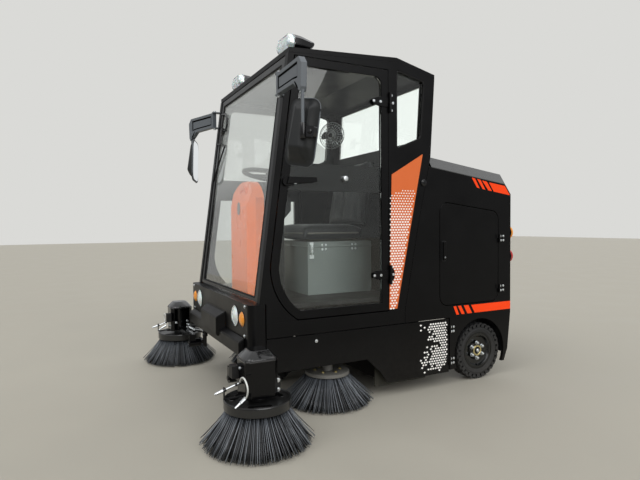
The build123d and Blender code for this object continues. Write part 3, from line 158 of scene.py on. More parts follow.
@dataclass(frozen=True)
class Finish:
    """A surface with grain, a slow drift of colour and gloss, soft edges and road dust low down."""

    name: str
    colour: str
    roughness: float = 0.5
    metallic: float = 0.0
    specular: float = 0.5
    coat: float = 0.0
    grain_mm: float = 1.2
    grain_depth_mm: float = 0.03
    drift: float = 0.12
    drift_mm: float = 140.0
    dust: float = 0.0
    edge_mm: float = 0.0

    def build(self) -> bpy.types.Material:
        """Return the material, made on first use."""
        made = bpy.data.materials.get(self.name)
        if made is not None:
            return made
        made = bpy.data.materials.new(self.name)
        made.use_nodes = True
        tree = made.node_tree
        tree.nodes.clear()
        place = add_node(tree, "ShaderNodeTexCoord").outputs["Object"]
        slow = add_node(tree, "ShaderNodeTexNoise", values={"Scale": 1 / (self.drift_mm * MM), "Detail": 3.0},
                        links={"Vector": place}).outputs["Fac"]
        gloss = add_node(tree, "ShaderNodeMapRange", values={
            1: 0.3, 2: 0.7, 3: self.roughness * (1 - GLOSS_DRIFT),
            4: min(1.0, self.roughness * (1 + GLOSS_DRIFT))}, links={0: slow}).outputs[0]
        shader = add_node(tree, "ShaderNodeBsdfPrincipled", values={
            "Base Color": linear(self.colour), "Roughness": self.roughness, "Metallic": self.metallic,
            "Specular IOR Level": self.specular, "Coat Weight": self.coat, "Coat Roughness": 0.12})
        for socket, source in (("Base Color", self.paint(tree, place, slow)),
                               ("Normal", self.relief(tree, place)),
                               ("Roughness", gloss if self.roughness else None)):
            if source is not None:
                tree.links.new(source, shader.inputs[socket])
        self.body(shader)
        seen = self.surface(tree, shader.outputs["BSDF"])
        add_node(tree, "ShaderNodeOutputMaterial", links={"Surface": seen})
        return made

    def paint(self, tree: bpy.types.NodeTree, place: Any, slow: Any) -> Any:
        """The colour: a little darker and lighter by turns, with pale dust near the ground.

        Args:
            tree: The material's node tree.
            place: Socket of the point on the piece.
            slow: Socket of a slow noise.

        Returns:
            The colour's socket, or None where the shader's own value stays.
        """
        base = linear(self.colour)
        dark = tuple(c * (1 - self.drift) for c in base[:3]) + (1.0,)
        light = tuple(min(1.0, c * (1 + self.drift)) for c in base[:3]) + (1.0,)
        colour = add_node(tree, "ShaderNodeMix", {"data_type": "RGBA"}, {6: dark, 7: light},
                          {0: slow}).outputs[2]
        if not self.dust:
            return colour
        height = add_node(tree, "ShaderNodeSeparateXYZ", links={0: place}).outputs[2]
        low = add_node(tree, "ShaderNodeMapRange", values={1: DUST_TOP, 2: DUST_FULL, 3: 0.0, 4: self.dust},
                       links={0: height}).outputs[0]
        patch = add_node(tree, "ShaderNodeTexNoise",
                         values={"Scale": DUST_PATCHES, "Detail": 5.0, "Roughness": 0.65},
                         links={"Vector": place}).outputs["Fac"]
        share = add_node(tree, "ShaderNodeMath", {"operation": "MULTIPLY"},
                         links={0: low, 1: patch}).outputs[0]
        return add_node(tree, "ShaderNodeMix", {"data_type": "RGBA"}, {7: linear(ROAD_DUST)},
                        {0: share, 6: colour}).outputs[2]

    def relief(self, tree: bpy.types.NodeTree, place: Any) -> Any:
        """The fine relief of the surface, left out behind glass, where it is too small to see.

        Args:
            tree: The material's node tree.
            place: Socket of the point on the piece.

        Returns:
            The normal's socket, or None for a flat surface.
        """
        grain = add_node(tree, "ShaderNodeTexNoise",
                         values={"Scale": 1 / (self.grain_mm * MM), "Detail": 2.0},
                         links={"Vector": place}).outputs["Fac"]
        links = {"Height": grain}
        if self.edge_mm:
            links["Normal"] = add_node(tree, "ShaderNodeBevel", {"samples": 4},
                                       {"Radius": self.edge_mm * MM}).outputs[0]
        behind = add_node(tree, "ShaderNodeLightPath").outputs["Is Transmission Ray"]
        links["Strength"] = add_node(tree, "ShaderNodeMapRange", values={3: 0.35, 4: 0.0},
                                     links={0: behind}).outputs[0]
        return add_node(tree, "ShaderNodeBump", values={"Distance": self.grain_depth_mm * MM},
                        links=links).outputs["Normal"]

    def body(self, shader: bpy.types.Node) -> None:
        """Set what only some finishes have on the shader's own sockets."""

    def surface(self, tree: bpy.types.NodeTree, shader: Any) -> Any:
        """What the material's output shows."""
        return shader


@dataclass(frozen=True)
class LeatherGrain(Finish):
    """Vinyl with pebbled leather grain."""

    def relief(self, tree: bpy.types.NodeTree, place: Any) -> Any:
        """Rounded pebbles with creases between them."""
        cell = add_node(tree, "ShaderNodeTexVoronoi", {"feature": "DISTANCE_TO_EDGE"},
                        {"Scale": 1 / (self.grain_mm * MM)}, {"Vector": place}).outputs["Distance"]
        return add_node(tree, "ShaderNodeBump",
                        values={"Strength": 0.6, "Distance": self.grain_depth_mm * MM},
                        links={"Height": cell}).outputs["Normal"]

    def body(self, shader: bpy.types.Node) -> None:
        """Vinyl has a slight sheen."""
        shader.inputs["Sheen Weight"].default_value = 0.15


@dataclass(frozen=True)
class Pane(Finish):
    """Flat clear glass, which lets the lamps through to the cab.

    A pale diffuse film, which is painted reflection of the bright surroundings, lightens it: `thin` low down,
    and rising to `haze` between two heights in metres.
    """

    haze: float = 0.0
    thin: float = 0.02
    haze_from: float = 1.1
    haze_full: float = 1.4

    def paint(self, tree: bpy.types.NodeTree, place: Any, slow: Any) -> Any:
        """The tint is even, so it stays on the shader's own socket."""
        return None

    def relief(self, tree: bpy.types.NodeTree, place: Any) -> Any:
        """Float glass is flat."""
        return None

    def body(self, shader: bpy.types.Node) -> None:
        """Clear all through."""
        shader.inputs["Transmission Weight"].default_value = 1.0
        shader.inputs["IOR"].default_value = 1.42

    def surface(self, tree: bpy.types.NodeTree, shader: Any) -> Any:
        """Light from lamps passes straight, as it does through a real pane.

        Args:
            tree: The material's node tree.
            shader: Socket of the plain glass.

        Returns:
            The socket of the dressed glass.
        """
        ray = add_node(tree, "ShaderNodeLightPath").outputs["Is Shadow Ray"]
        clear = add_node(tree, "ShaderNodeBsdfTransparent", values={"Color": linear("#F2F5F3")}).outputs[0]
        if self.haze:
            # Painted reflection: a pale diffuse film mixed into the glass, more of it higher up.
            film = add_node(tree, "ShaderNodeBsdfDiffuse", values={"Color": linear("#D9DCDA")}).outputs[0]
            place = add_node(tree, "ShaderNodeNewGeometry").outputs["Position"]
            height = add_node(tree, "ShaderNodeSeparateXYZ", links={0: place}).outputs[2]
            share = add_node(tree, "ShaderNodeMapRange",
                             values={1: self.haze_from, 2: self.haze_full, 3: self.thin, 4: self.haze},
                             links={0: height}).outputs[0]
            shader = add_node(tree, "ShaderNodeMixShader", links={0: share, 1: shader, 2: film}).outputs[0]
        return add_node(tree, "ShaderNodeMixShader", links={0: ray, 1: shader, 2: clear}).outputs[0]


@dataclass(frozen=True)
class MouldedLens(Finish):
    """A coloured lens with small moulded facets."""

    def relief(self, tree: bpy.types.NodeTree, place: Any) -> Any:
        """Facets in a regular field."""
        cell = add_node(tree, "ShaderNodeTexVoronoi", {"feature": "F1"},
                        {"Scale": 1 / (self.grain_mm * MM), "Randomness": 0.25}, {"Vector": place})
        return add_node(tree, "ShaderNodeBump",
                        values={"Strength": 0.8, "Distance": self.grain_depth_mm * MM},
                        links={"Height": cell.outputs["Distance"]}).outputs["Normal"]

    def body(self, shader: bpy.types.Node) -> None:
        """Tinted plastic lets some light through and glows a little."""
        shader.inputs["Transmission Weight"].default_value = 0.15
        shader.inputs["Subsurface Weight"].default_value = 0.25


@dataclass(frozen=True)
class StrandTone(Finish):
    """Extruded nylon strands: each one has its own tone, up to a paler one."""

    pale: str = "#757A80"

    def paint(self, tree: bpy.types.NodeTree, place: Any, slow: Any) -> Any:
        """The strand's tone, which its mesh carries."""
        tone = add_node(tree, "ShaderNodeAttribute", {"attribute_name": "strand"}).outputs["Fac"]
        return add_node(tree, "ShaderNodeMix", {"data_type": "RGBA"},
                        {6: linear(self.colour), 7: linear(self.pale)}, {0: tone}).outputs[2]


# Powder-coated steel sheet: satin, with the fine orange-peel relief of a baked coat and small rolled edges.
POWDER_COAT = Finish("satin_powder_coat", "#060607", 0.34, specular=0.15, grain_mm=2.4, grain_depth_mm=0.02,
                     drift=0.08, dust=0.05, edge_mm=3.0)
# The same coat where it faces the sky: more gloss on the flat cover, and a base colour much lighter than the
# black coat's, which is painted light from the sky.
COVER_COAT = Finish("gloss_powder_coat", "#353635", 0.2, specular=0.6, coat=1.0, grain_mm=1.6,
                    grain_depth_mm=0.04, drift=0.06, edge_mm=4.0)
# Welded steel tube and plate under a thicker, duller coat of the same black.
FRAME_COAT = Finish("frame_powder_coat", "#0E0E0F", 0.5, specular=0.3, grain_mm=1.4, grain_depth_mm=0.06,
                    dust=0.12, edge_mm=2.0)
# The motor covers have a smooth stoved gloss that mirrors pale surfaces at its bevels.
GLOSS_ENAMEL = Finish("black_gloss_enamel", "#060607", 0.16, specular=0.2, coat=0.12, grain_mm=3.0,
                      grain_depth_mm=0.02, drift=0.05, edge_mm=2.5)
# Their caps have the same stoved enamel; a lighter base colour and stronger reflection than the covers' are
# painted light on the facets that face up.
CAP_ENAMEL = Finish("bright_gloss_enamel", "#0C0C0D", 0.12, specular=0.5, coat=0.6, grain_mm=3.0,
                    grain_depth_mm=0.01, drift=0.05, edge_mm=2.0)
# Cast vinyl film, rolled on flat: even colour with a soft satin shine.
ORANGE_FILM = Finish("orange_vinyl_film", "#D5672F", 0.34, specular=0.4, grain_mm=5.0, grain_depth_mm=0.01,
                     drift=0.03)
# A redder, more saturated film for the bars.
STRIPE_FILM = Finish("bright_orange_vinyl_film", "#F8440C", 0.3, specular=0.25, grain_mm=5.0,
                     grain_depth_mm=0.01, drift=0.03)
# White film, cut to small shapes: flat and even.
WHITE_FILM = Finish("white_vinyl_film", "#F4F2EE", 0.38, grain_mm=5.0, grain_depth_mm=0.01, drift=0.02)
# Folded sheet under sprayed grey enamel: a soft sheen with a faint ripple.
GREY_ENAMEL = Finish("grey_enamelled_sheet", "#666C6B", 0.36, coat=0.2, grain_mm=2.0, grain_depth_mm=0.03,
                     edge_mm=2.0)
# The moulded border round the windscreen: dark grey with a soft shine.
SCREEN_TRIM = Finish("grey_screen_trim", "#161717", 0.3, specular=0.35, coat=0.1, grain_mm=2.0,
                     grain_depth_mm=0.02)
# Float glass, heat-toughened: clear and flat, with a breath of green.
SAFETY_GLASS = Pane("toughened_glass", "#F4F8F6", 0.0)
# The laminated windscreen leans toward the sky; its pale film, stronger higher up, is painted reflection.
SCREEN_GLASS = Pane("laminated_glass", "#FAFCFB", 0.0, haze=0.22)
# Injection-moulded clear plastic: as clear as glass, with no tint.
LENS_COVER = Pane("clear_polycarbonate", "#FAFCFC", 0.0)
# Moulded acrylic with small prisms inside, which break up its colour and glow when lit.
AMBER_LENS = MouldedLens("amber_acrylic_lens", "#FF9A1E", 0.16, coat=0.6, grain_mm=5.0, grain_depth_mm=0.5)
# The same moulding in red.
RED_LENS = MouldedLens("red_acrylic_lens", "#B3140E", 0.16, coat=0.6, grain_mm=5.0, grain_depth_mm=0.5)
# Aluminised plastic behind a lens: bright, broken into small facets.
REFLECTOR = MouldedLens("aluminised_facets", "#EDF0F0", 0.3, 0.35, grain_mm=16.0, grain_depth_mm=0.9,
                        drift=0.05)
# Moulded rubber with carbon black: matt, a little dusty at the tread.
TYRE_RUBBER = Finish("tyre_rubber", "#141517", 0.62, specular=0.4, grain_mm=1.1, grain_depth_mm=0.12,
                     dust=0.1)
# Pressed steel rims under stoved enamel: black with sharp highlights in the dish.
RIM_ENAMEL = Finish("black_stoved_enamel", "#040505", 0.14, specular=0.3, coat=0.5, grain_mm=2.4,
                    grain_depth_mm=0.02)
# Bolts and pins plated with bright zinc: pale metal with fine scratches.
ZINC = Finish("zinc_plated_steel", "#D5D9DB", 0.3, 1.0, grain_mm=1.0, grain_depth_mm=0.03, drift=0.06,
              drift_mm=30)
# Zinc with a yellow chromate, as on hub rings: a warm metal tint.
BRASS_ZINC = Finish("yellow_chromate_zinc", "#CDBF8A", 0.34, 1.0, grain_mm=1.0, grain_depth_mm=0.03,
                    drift=0.08)
# Extruded nylon monofilament: dark, with a shine along each strand.
NYLON = StrandTone("nylon_bristles", "#0C0D0E", 0.3, specular=0.6, grain_mm=2.0, grain_depth_mm=0.02)
# Painted shade: a near-black, matt shell that stands for the mass of inner strands and the shade among them.
BRISTLE_CORE = Finish("bristle_roots", "#040405", 0.95, specular=0.05, grain_mm=3.0, grain_depth_mm=0.6)
# Injection-moulded ABS from a spark-eroded tool: a fine even grain.
MOULDED_BLACK = Finish("moulded_black_abs", "#141517", 0.44, specular=0.3, grain_mm=0.9, grain_depth_mm=0.05)
# Mirror shells: ABS with a coarser moulded grain, drawn as deep as it needs to show.
SHELL_GREY = Finish("grained_grey_abs", "#17191A", 0.46, specular=0.35, grain_mm=1.3, grain_depth_mm=0.14)
# Mirror arms: lighter textured ABS, whose edges catch the light.
ARM_GREY = Finish("textured_grey_abs", "#5C6166", 0.42, specular=0.4, grain_mm=1.0, grain_depth_mm=0.10,
                  edge_mm=2.5)
# Brush plates moulded from polypropylene: slightly waxy, with mould flow marks.
PLATE_PLASTIC = Finish("moulded_polypropylene", "#111213", 0.3, specular=0.5, coat=0.2, grain_mm=2.2,
                       grain_depth_mm=0.03, dust=0.04)
# The same plastic, dulled and greyed by weather and road dust.
GREY_DISC = Finish("weathered_polypropylene", "#62615D", 0.5, specular=0.4, grain_mm=2.2,
                   grain_depth_mm=0.08, dust=0.1)
# Moulded plastic from a polished tool: deep black gloss.
GLOSS_BLACK = Finish("gloss_black_plastic", "#08080A", 0.16, grain_mm=3.0, grain_depth_mm=0.01)
# Extruded EPDM seals: matt black rubber, fine and even.
EPDM = Finish("epdm_rubber_seal", "#0D0D0E", 0.6, specular=0.3, grain_mm=0.8, grain_depth_mm=0.05)
# Rubber sheet with a woven core: a coarse, dull, dusty face.
FLAP_RUBBER = Finish("reinforced_rubber_sheet", "#1A1A13", 0.7, specular=0.3, grain_mm=2.6,
                     grain_depth_mm=0.2, dust=0.12)
# PVC hose over a braid: pale and glossy, with the braid's relief showing through.
HOSE_SKIN = Finish("braided_pvc_hose", "#D3D5D1", 0.3, coat=0.3, grain_mm=1.6, grain_depth_mm=0.2)
# Vinyl embossed with leather grain over foam: pebbled, with a slight sheen.
SEAT_VINYL = LeatherGrain("black_seat_vinyl", "#1A1B1D", 0.45, specular=0.4, grain_mm=1.6,
                          grain_depth_mm=0.25)
# The same vinyl in taupe, wrapped on the piping.
SEAT_PIPING = LeatherGrain("taupe_seat_vinyl", "#6A665E", 0.45, specular=0.4, grain_mm=1.6,
                           grain_depth_mm=0.2)
# ABS coloured through and moulded in a fine-grained tool: bright orange with a satin shine.
COVER_ORANGE = Finish("orange_moulded_abs", "#FF7A30", 0.3, specular=0.45, coat=0.3, grain_mm=1.8,
                      grain_depth_mm=0.04, drift=0.04)
# The inside of a slot or recess, which no light reaches.
DARK_SLOT = Finish("shaded_recess", "#030303", 0.9, specular=0.05, grain_mm=3.0, grain_depth_mm=0.1)
# Glass silvered on its back: a clean mirror.
MIRROR_SILVER = Finish("silvered_mirror_glass", "#DFE3E4", 0.02, 1.0, grain_mm=80.0, grain_depth_mm=0.002,
                       drift=0.01)
# Etched and anodised aluminium: a soft, even metal grey.
BADGE_GREY = Finish("satin_anodised_aluminium", "#8E9294", 0.35, 1.0, grain_mm=0.8, grain_depth_mm=0.02)

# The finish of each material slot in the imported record.
SLOT_FINISH: dict[str, Finish] = {
    "body_paint": POWDER_COAT, "frame_paint": FRAME_COAT, "orange_paint": ORANGE_FILM,
    "grey_paint": GREY_ENAMEL, "glass": SAFETY_GLASS, "clear_lens": LENS_COVER, "amber_lens": AMBER_LENS,
    "red_lens": RED_LENS, "tyre": TYRE_RUBBER, "rim_paint": RIM_ENAMEL, "bristle": NYLON,
    "plate_plastic": PLATE_PLASTIC, "rubber": FLAP_RUBBER, "vinyl": SEAT_VINYL,
    "black_plastic": MOULDED_BLACK, "orange_cover": COVER_ORANGE, "battery_case": MOULDED_BLACK,
}


class Facing(Enum):
    """How a flat outline is laid in space: its own x and y, and the way its thickness grows."""

    PLAN = ((1, 0, 0), (0, 1, 0), (0, 0, 1))        # x and y, growing up
    SIDE = ((0, 1, 0), (0, 0, 1), (1, 0, 0))        # y and z, growing to the left
    FRONT = ((1, 0, 0), (0, 0, 1), (0, -1, 0))      # x and z, growing forward
    REAR = ((1, 0, 0), (0, 0, 1), (0, 1, 0))        # x and z, growing backward

    def at(self, x: float = 0.0, y: float = 0.0, z: float = 0.0) -> Matrix:
        """The outline's frame with its origin moved to a point.

        Args:
            x: Millimetres to the driver's left.
            y: Millimetres back from the front panel.
            z: Millimetres above the ground.

        Returns:
            The matrix from the outline's own axes to the drawing's.
        """
        across, up, out = (Vector(axis) for axis in self.value)
        frame = Matrix((across, up, out)).transposed().to_4x4()
        return Matrix.Translation((x, y, z)) @ frame


class Side(Enum):
    """A side of the machine, as its driver sits; the value is the sign of x there."""

    LEFT = 1
    RIGHT = -1

    @property
    def frame(self) -> Matrix:
        """Nothing for the left side, a mirror image for the right."""
        return Matrix.Scale(self.value, 4, (1, 0, 0))

    @property
    def tail(self) -> str:
        """The ending that this side's names carry."""
        return self.name.lower()


class Solid:
    """A closed mesh under construction, in millimetres."""

    def __init__(self, place: Matrix | None = None) -> None:
        """Start empty.

        Args:
            place: What everything added is also put through.
        """
        self.mesh = bmesh.new()
        self.place = place or Matrix.Identity(4)

    def add(self, points: Iterable[Sequence[float]], faces: Iterable[Sequence[int]],
            frame: Matrix | None = None) -> Solid:
        """Add loose points and the faces between them.

        Args:
            points: Corner points in the frame's own axes.
            faces: Corner numbers of each face.
            frame: Where those axes lie.

        Returns:
            This solid, so that calls can follow one another.
        """
        whole = self.place @ (frame or Matrix.Identity(4))
        verts = [self.mesh.verts.new(whole @ Vector(p)) for p in points]
        for face in faces:
            self.mesh.faces.new([verts[i] for i in face])
        return self

    def prism(self, outline: Sequence[Flat], low: float, high: float, frame: Matrix | None = None) -> Solid:
        """Extrude a flat outline between two heights of its own frame.

        Args:
            outline: Corner points in order.
            low: Height of its lower face.
            high: Height of its upper face.
            frame: Where the outline's axes lie.

        Returns:
            This solid.
        """
        count = len(outline)
        points = [(x, y, z) for z in (low, high) for x, y in outline]
        faces = [list(range(count))[::-1], list(range(count, 2 * count))]
        faces += [[i, (i + 1) % count, count + (i + 1) % count, count + i] for i in range(count)]
        return self.add(points, faces, frame)

    def box(self, x: Flat, y: Flat, z: Flat, frame: Matrix | None = None) -> Solid:
        """A box between low and high limits on each axis."""
        return self.prism([(x[0], y[0]), (x[1], y[0]), (x[1], y[1]), (x[0], y[1])], z[0], z[1], frame)

    def lathe(self, profile: Sequence[Flat], frame: Matrix | None = None,
              segments: int = 40) -> Solid:
        """Turn a closed profile of (radius, height) points about its frame's z axis.

        Args:
            profile: The closed profile; a point on the axis has radius 0.
            frame: Where the axis lies.
            segments: Steps in a full turn.

        Returns:
            This solid.
        """
        points: list[Point] = []
        rings: list[list[int]] = []
        for radius, height in profile:
            ring = []
            for step in range(1 if radius == 0 else segments):
                angle = 2 * math.pi * step / segments
                ring.append(len(points))
                points.append((radius * math.cos(angle), radius * math.sin(angle), height))
            rings.append(ring)
        faces: list[list[int]] = []
        for first, second in zip(rings, rings[1:] + rings[:1]):
            for step in range(segments):
                corners = [first[step % len(first)], first[(step + 1) % len(first)],
                           second[(step + 1) % len(second)], second[step % len(second)]]
                kept = list(dict.fromkeys(corners))
                if len(kept) > 2:
                    faces.append(kept)
        return self.add(points, faces, frame)

    def rod(self, start: Sequence[float], end: Sequence[float], radius: float, sides: int = 12,
            tip: float | None = None) -> Solid:
        """A round bar between two points.

        Args:
            start: Middle of the first end.
            end: Middle of the other end.
            radius: The bar's radius.
            sides: Number of flat sides round it.
            tip: Radius at the other end, where it tapers.

        Returns:
            This solid.
        """
        axis = Vector(end) - Vector(start)
        frame = Matrix.Translation(start) @ axis.to_track_quat("Z", "Y").to_matrix().to_4x4()
        last = radius if tip is None else tip
        return self.lathe([(0, 0), (radius, 0), (last, axis.length), (0, axis.length)], frame, sides)

    def tube(self, path: Sequence[Sequence[float]], radius: float, sides: int = 8,
             closed: bool = False) -> Solid:
        """A round bar bent along a path of points.

        Args:
            path: Points along its middle.
            radius: The bar's radius.
            sides: Number of flat sides round it.
            closed: Whether the last point joins the first.

        Returns:
            This solid.
        """
        points = [Vector(p) for p in path]
        count = len(points)
        rings: list[Point] = []
        normal = Vector((0, 0, 1))
        for i, point in enumerate(points):
            before = points[i - 1] if i or closed else point
            after = points[(i + 1) % count] if i < count - 1 or closed else point
            along = (after - before).normalized()
            cross = along.cross(normal)
            if cross.length < 0.05:
                cross = along.cross(Vector((1, 0, 0)))
            cross.normalize()
            up = cross.cross(along)
            for step in range(sides):
                angle = 2 * math.pi * step / sides
                rings.append(tuple(point + radius * (cross * math.cos(angle) + up * math.sin(angle))))
        faces: list[list[int]] = []
        for i in range(count if closed else count - 1):
            a, b = i * sides, ((i + 1) % count) * sides
            faces += [[a + s, a + (s + 1) % sides, b + (s + 1) % sides, b + s] for s in range(sides)]
        if not closed:
            faces += [list(range(sides))[::-1], list(range((count - 1) * sides, count * sides))]
        return self.add(rings, faces)

    def bolt(self, centre: Sequence[float], out: Sequence[float], size: float = 6.0,
             height: float = 5.0) -> Solid:
        """A hexagon bolt head with a chamfered top on a round washer.

        Args:
            centre: Where the washer lies on its seat.
            out: The way that the head points.
            size: Radius over the hexagon's corners.
            height: Height of the head over the seat.

        Returns:
            This solid.
        """
        frame = Matrix.Translation(centre) @ Vector(out).to_track_quat("Z", "Y").to_matrix().to_4x4()
        washer = height * 0.22
        self.lathe([(0, 0), (size * 1.5, 0), (size * 1.5, washer), (0, washer)], frame, 16)
        head = [(0, 0), (size, 0), (size, height * 0.85), (size * 0.82, height), (0, height)]
        return self.lathe(head, frame, 6)

    def bevel(self, width: float, steps: int = 2, angle: float = 30.0) -> Solid:
        """Round every edge that is sharper than an angle.

        Args:
            width: Width of the round.
            steps: Number of flats across it.
            angle: The angle in degrees.

        Returns:
            This solid.
        """
        self.mesh.normal_update()
        limit = math.radians(angle)
        sharp = [e for e in self.mesh.edges if len(e.link_faces) == 2 and e.calc_face_angle(0) > limit]
        bmesh.ops.bevel(self.mesh, geom=sharp, offset=width, segments=steps, affect="EDGES",
                        clamp_overlap=True)
        return self

    def piece(self, name: str, finish: Finish, body: str = "root", slot: str = "body_paint",
              replaces: Sequence[str] = (), smooth: float = 35.0) -> bpy.types.Object:
        """Finish the mesh as a Blender object that rides on a body.

        Args:
            name: The piece's plain name.
            finish: Its surface.
            body: The CAD body that it moves with.
            slot: The record's material slot; not used, the finish comes from `finish`.
            replaces: CAD nodes that it stands for.
            smooth: Edges flatter than this angle are shaded smooth.

        Returns:
            The object.
        """
        bmesh.ops.recalc_face_normals(self.mesh, faces=self.mesh.faces)
        for vert in self.mesh.verts:
            vert.co = metres(vert.co)
        data = bpy.data.meshes.new(name)
        self.mesh.to_mesh(data)
        self.mesh.free()
        data.materials.append(finish.build())
        data.shade_smooth()
        data.set_sharp_from_angle(angle=math.radians(smooth))
        made = add_object(name, data)
        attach(made, body)
        if replaces:
            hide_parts(*replaces)
        LOG.info("%s rides on %s", name, body)
        return made


def arc(centre: Flat, radius: float, start: float, end: float, steps: int) -> list[Flat]:
    """Points along a circle's arc.

    Args:
        centre: The circle's middle.
        radius: Its radius.
        start: Angle of the first point, in degrees.
        end: Angle of the last point, in degrees.
        steps: Number of steps between them.

    Returns:
        The points in order.
    """
    angles = [math.radians(start + (end - start) * i / steps) for i in range(steps + 1)]
    return [(centre[0] + radius * math.cos(a), centre[1] + radius * math.sin(a)) for a in angles]


def rounded(outline: Sequence[Flat], radius: float, steps: int = 5) -> list[Flat]:
    """Round an outline's corners.

    Args:
        outline: Corner points in order.
        radius: How far from each corner the round begins.
        steps: Number of steps in each round.

    Returns:
        The rounded outline.
    """
    result: list[Flat] = []
    count = len(outline)
    for i in range(count):
        corner = Vector(outline[i])
        before = Vector(outline[i - 1]) - corner
        after = Vector(outline[(i + 1) % count]) - corner
        cut = min(radius, before.length * 0.45, after.length * 0.45)
        start = corner + before.normalized() * cut
        end = corner + after.normalized() * cut
        for step in range(steps + 1):
            t = step / steps
            point = start * (1 - t) ** 2 + corner * 2 * t * (1 - t) + end * t ** 2
            result.append((point.x, point.y))
    return result


def ring_outline(outline: Sequence[Flat], x: float) -> list[Point]:
    """Set a side outline of (y, z) points at a distance from the centre line."""
    return [(x, y, z) for y, z in outline]


# Corner numbers of a box-like form: four corners of one end, then four of the other.
BOX_FACES = [(0, 1, 2, 3), (4, 5, 6, 7), (0, 1, 5, 4), (1, 2, 6, 5), (2, 3, 7, 6), (3, 0, 4, 7)]


@dataclass
class Studio:
    """The camera that the photograph was taken with, plain soft light and a pale floor."""

    place: Point = (3.0207, -1.6133, 1.0033)     # metres in the frame
    yaw: float = 62.672
    pitch: float = -1.733
    roll: float = -0.4317
    focal_px: float = 506.16
    frame_px: float = 640.0
    sensor_mm: float = 36.0
    floor_colour: str = "#A29E93"
    wall_colour: str = "#DADAD7"
    sky_colour: str = "#E8E9EA"
    sky_levels: Flat = (0.42, 0.95)              # its strength near the horizon and overhead
    floor_reach: float = 30.0
    suns: tuple[tuple[str, Point, float, float], ...] = (
        # name, way that its light goes, spread in degrees, strength
        ("key_sun", (-0.25, 0.72, -0.95), 60.0, 1.25),
        ("side_sun", (-0.95, -0.05, -0.45), 50.0, 1.45),
        ("back_sun", (0.6, -0.7, -0.55), 60.0, 0.4))

    def build(self) -> None:
        """Make the camera, the lights, the world and the floor."""
        self.camera()
        self.light()
        self.world()
        self.floor()

    def camera(self) -> None:
        """Aim the camera by its yaw, pitch and roll."""
        yaw, pitch, roll = (math.radians(a) for a in (self.yaw, self.pitch, self.roll))
        ahead = Vector((-math.sin(yaw) * math.cos(pitch), math.cos(yaw) * math.cos(pitch), math.sin(pitch)))
        right = ahead.cross(Vector((0, 0, 1))).normalized()
        up = right.cross(ahead)
        across = right * math.cos(roll) + up * math.sin(roll)
        top = up * math.cos(roll) - right * math.sin(roll)
        data = bpy.data.cameras.new("camera")
        data.sensor_width = self.sensor_mm
        data.lens = self.focal_px * self.sensor_mm / self.frame_px
        data.clip_end = 200
        made = add_object("camera", data)
        frame = Matrix((across, top, -ahead)).transposed().to_4x4()
        made.matrix_world = Matrix.Translation(self.place) @ frame
        bpy.context.scene.camera = made

    def light(self) -> None:
        """Three broad soft suns: from ahead, from the driver's left and, weakly, from behind."""
        for name, way, spread, strength in self.suns:
            data = bpy.data.lights.new(name, "SUN")
            data.angle = math.radians(spread)
            data.energy = strength
            made = add_object(name, data)
            made.rotation_euler = Vector(way).to_track_quat("-Z", "Y").to_euler()

    def world(self) -> None:
        """A plain pale surround; what it gives the object is brighter from above, as under a lit ceiling."""
        world = bpy.data.worlds.new("surround")
        bpy.context.scene.world = world
        world.use_nodes = True
        tree = world.node_tree
        tree.nodes.clear()
        path = add_node(tree, "ShaderNodeLightPath")
        seen = add_node(tree, "ShaderNodeMath", {"operation": "MAXIMUM"},
                        links={0: path.outputs["Is Camera Ray"],
                               1: path.outputs["Is Transmission Ray"]}).outputs[0]
        plain = add_node(tree, "ShaderNodeBackground",
                         values={0: linear(self.wall_colour), 1: 1.0}).outputs[0]
        way = add_node(tree, "ShaderNodeTexCoord").outputs["Generated"]
        rise = add_node(tree, "ShaderNodeSeparateXYZ", links={0: way}).outputs[2]
        glow = add_node(tree, "ShaderNodeMapRange",
                        values={1: 0.05, 2: 0.75, 3: self.sky_levels[0], 4: self.sky_levels[1]},
                        links={0: rise}).outputs[0]
        soft = add_node(tree, "ShaderNodeBackground", values={0: linear(self.sky_colour)},
                        links={1: glow}).outputs[0]
        mixed = add_node(tree, "ShaderNodeMixShader", links={0: seen, 1: soft, 2: plain}).outputs[0]
        add_node(tree, "ShaderNodeOutputWorld", links={"Surface": mixed})

    def floor(self) -> None:
        """A wide plain floor with the faint cloudiness of ground concrete."""
        finish = Finish("ground_concrete", self.floor_colour, 0.75, specular=0.25, grain_mm=6.0,
                        grain_depth_mm=0.3, drift=0.06, drift_mm=420)
        data = bpy.data.meshes.new("floor")
        reach = self.floor_reach
        data.from_pydata([(-reach, -reach, 0), (reach, -reach, 0), (reach, reach, 0), (-reach, reach, 0)], [],
                         [(0, 1, 2, 3)])
        data.materials.append(finish.build())
        add_object("floor", data)


@dataclass
class CarriedNodes:
    """The CAD nodes that keep their shape and only get their finishes."""

    own: dict[str, Finish] = field(default_factory=lambda: {
        "mirror_arms": ARM_GREY, "windscreen": SCREEN_GLASS, "steering_wheel": EPDM,
        "rear_top_cover": COVER_COAT, "front_arm_left": GLOSS_ENAMEL, "front_arm_right": GLOSS_ENAMEL,
        "mid_brush_plate_left": GREY_DISC, "mid_brush_plate_right": GREY_DISC})
    smooth: float = 32.0        # edges flatter than this many degrees are shaded smooth

    def build(self, frame: dict[str, Any]) -> None:
        """Give every node the finish of its record slot, or its own.
        """
        slots = {part["node"]: part["material_slot"] for part in frame["record"]["subparts"]}
        for name, made in frame["nodes"].items():
            finish = self.own.get(name) or SLOT_FINISH[slots[name]]
            made.data.materials.clear()
            made.data.materials.append(finish.build())
            made.data.shade_smooth()
            made.data.set_sharp_from_angle(angle=math.radians(self.smooth))


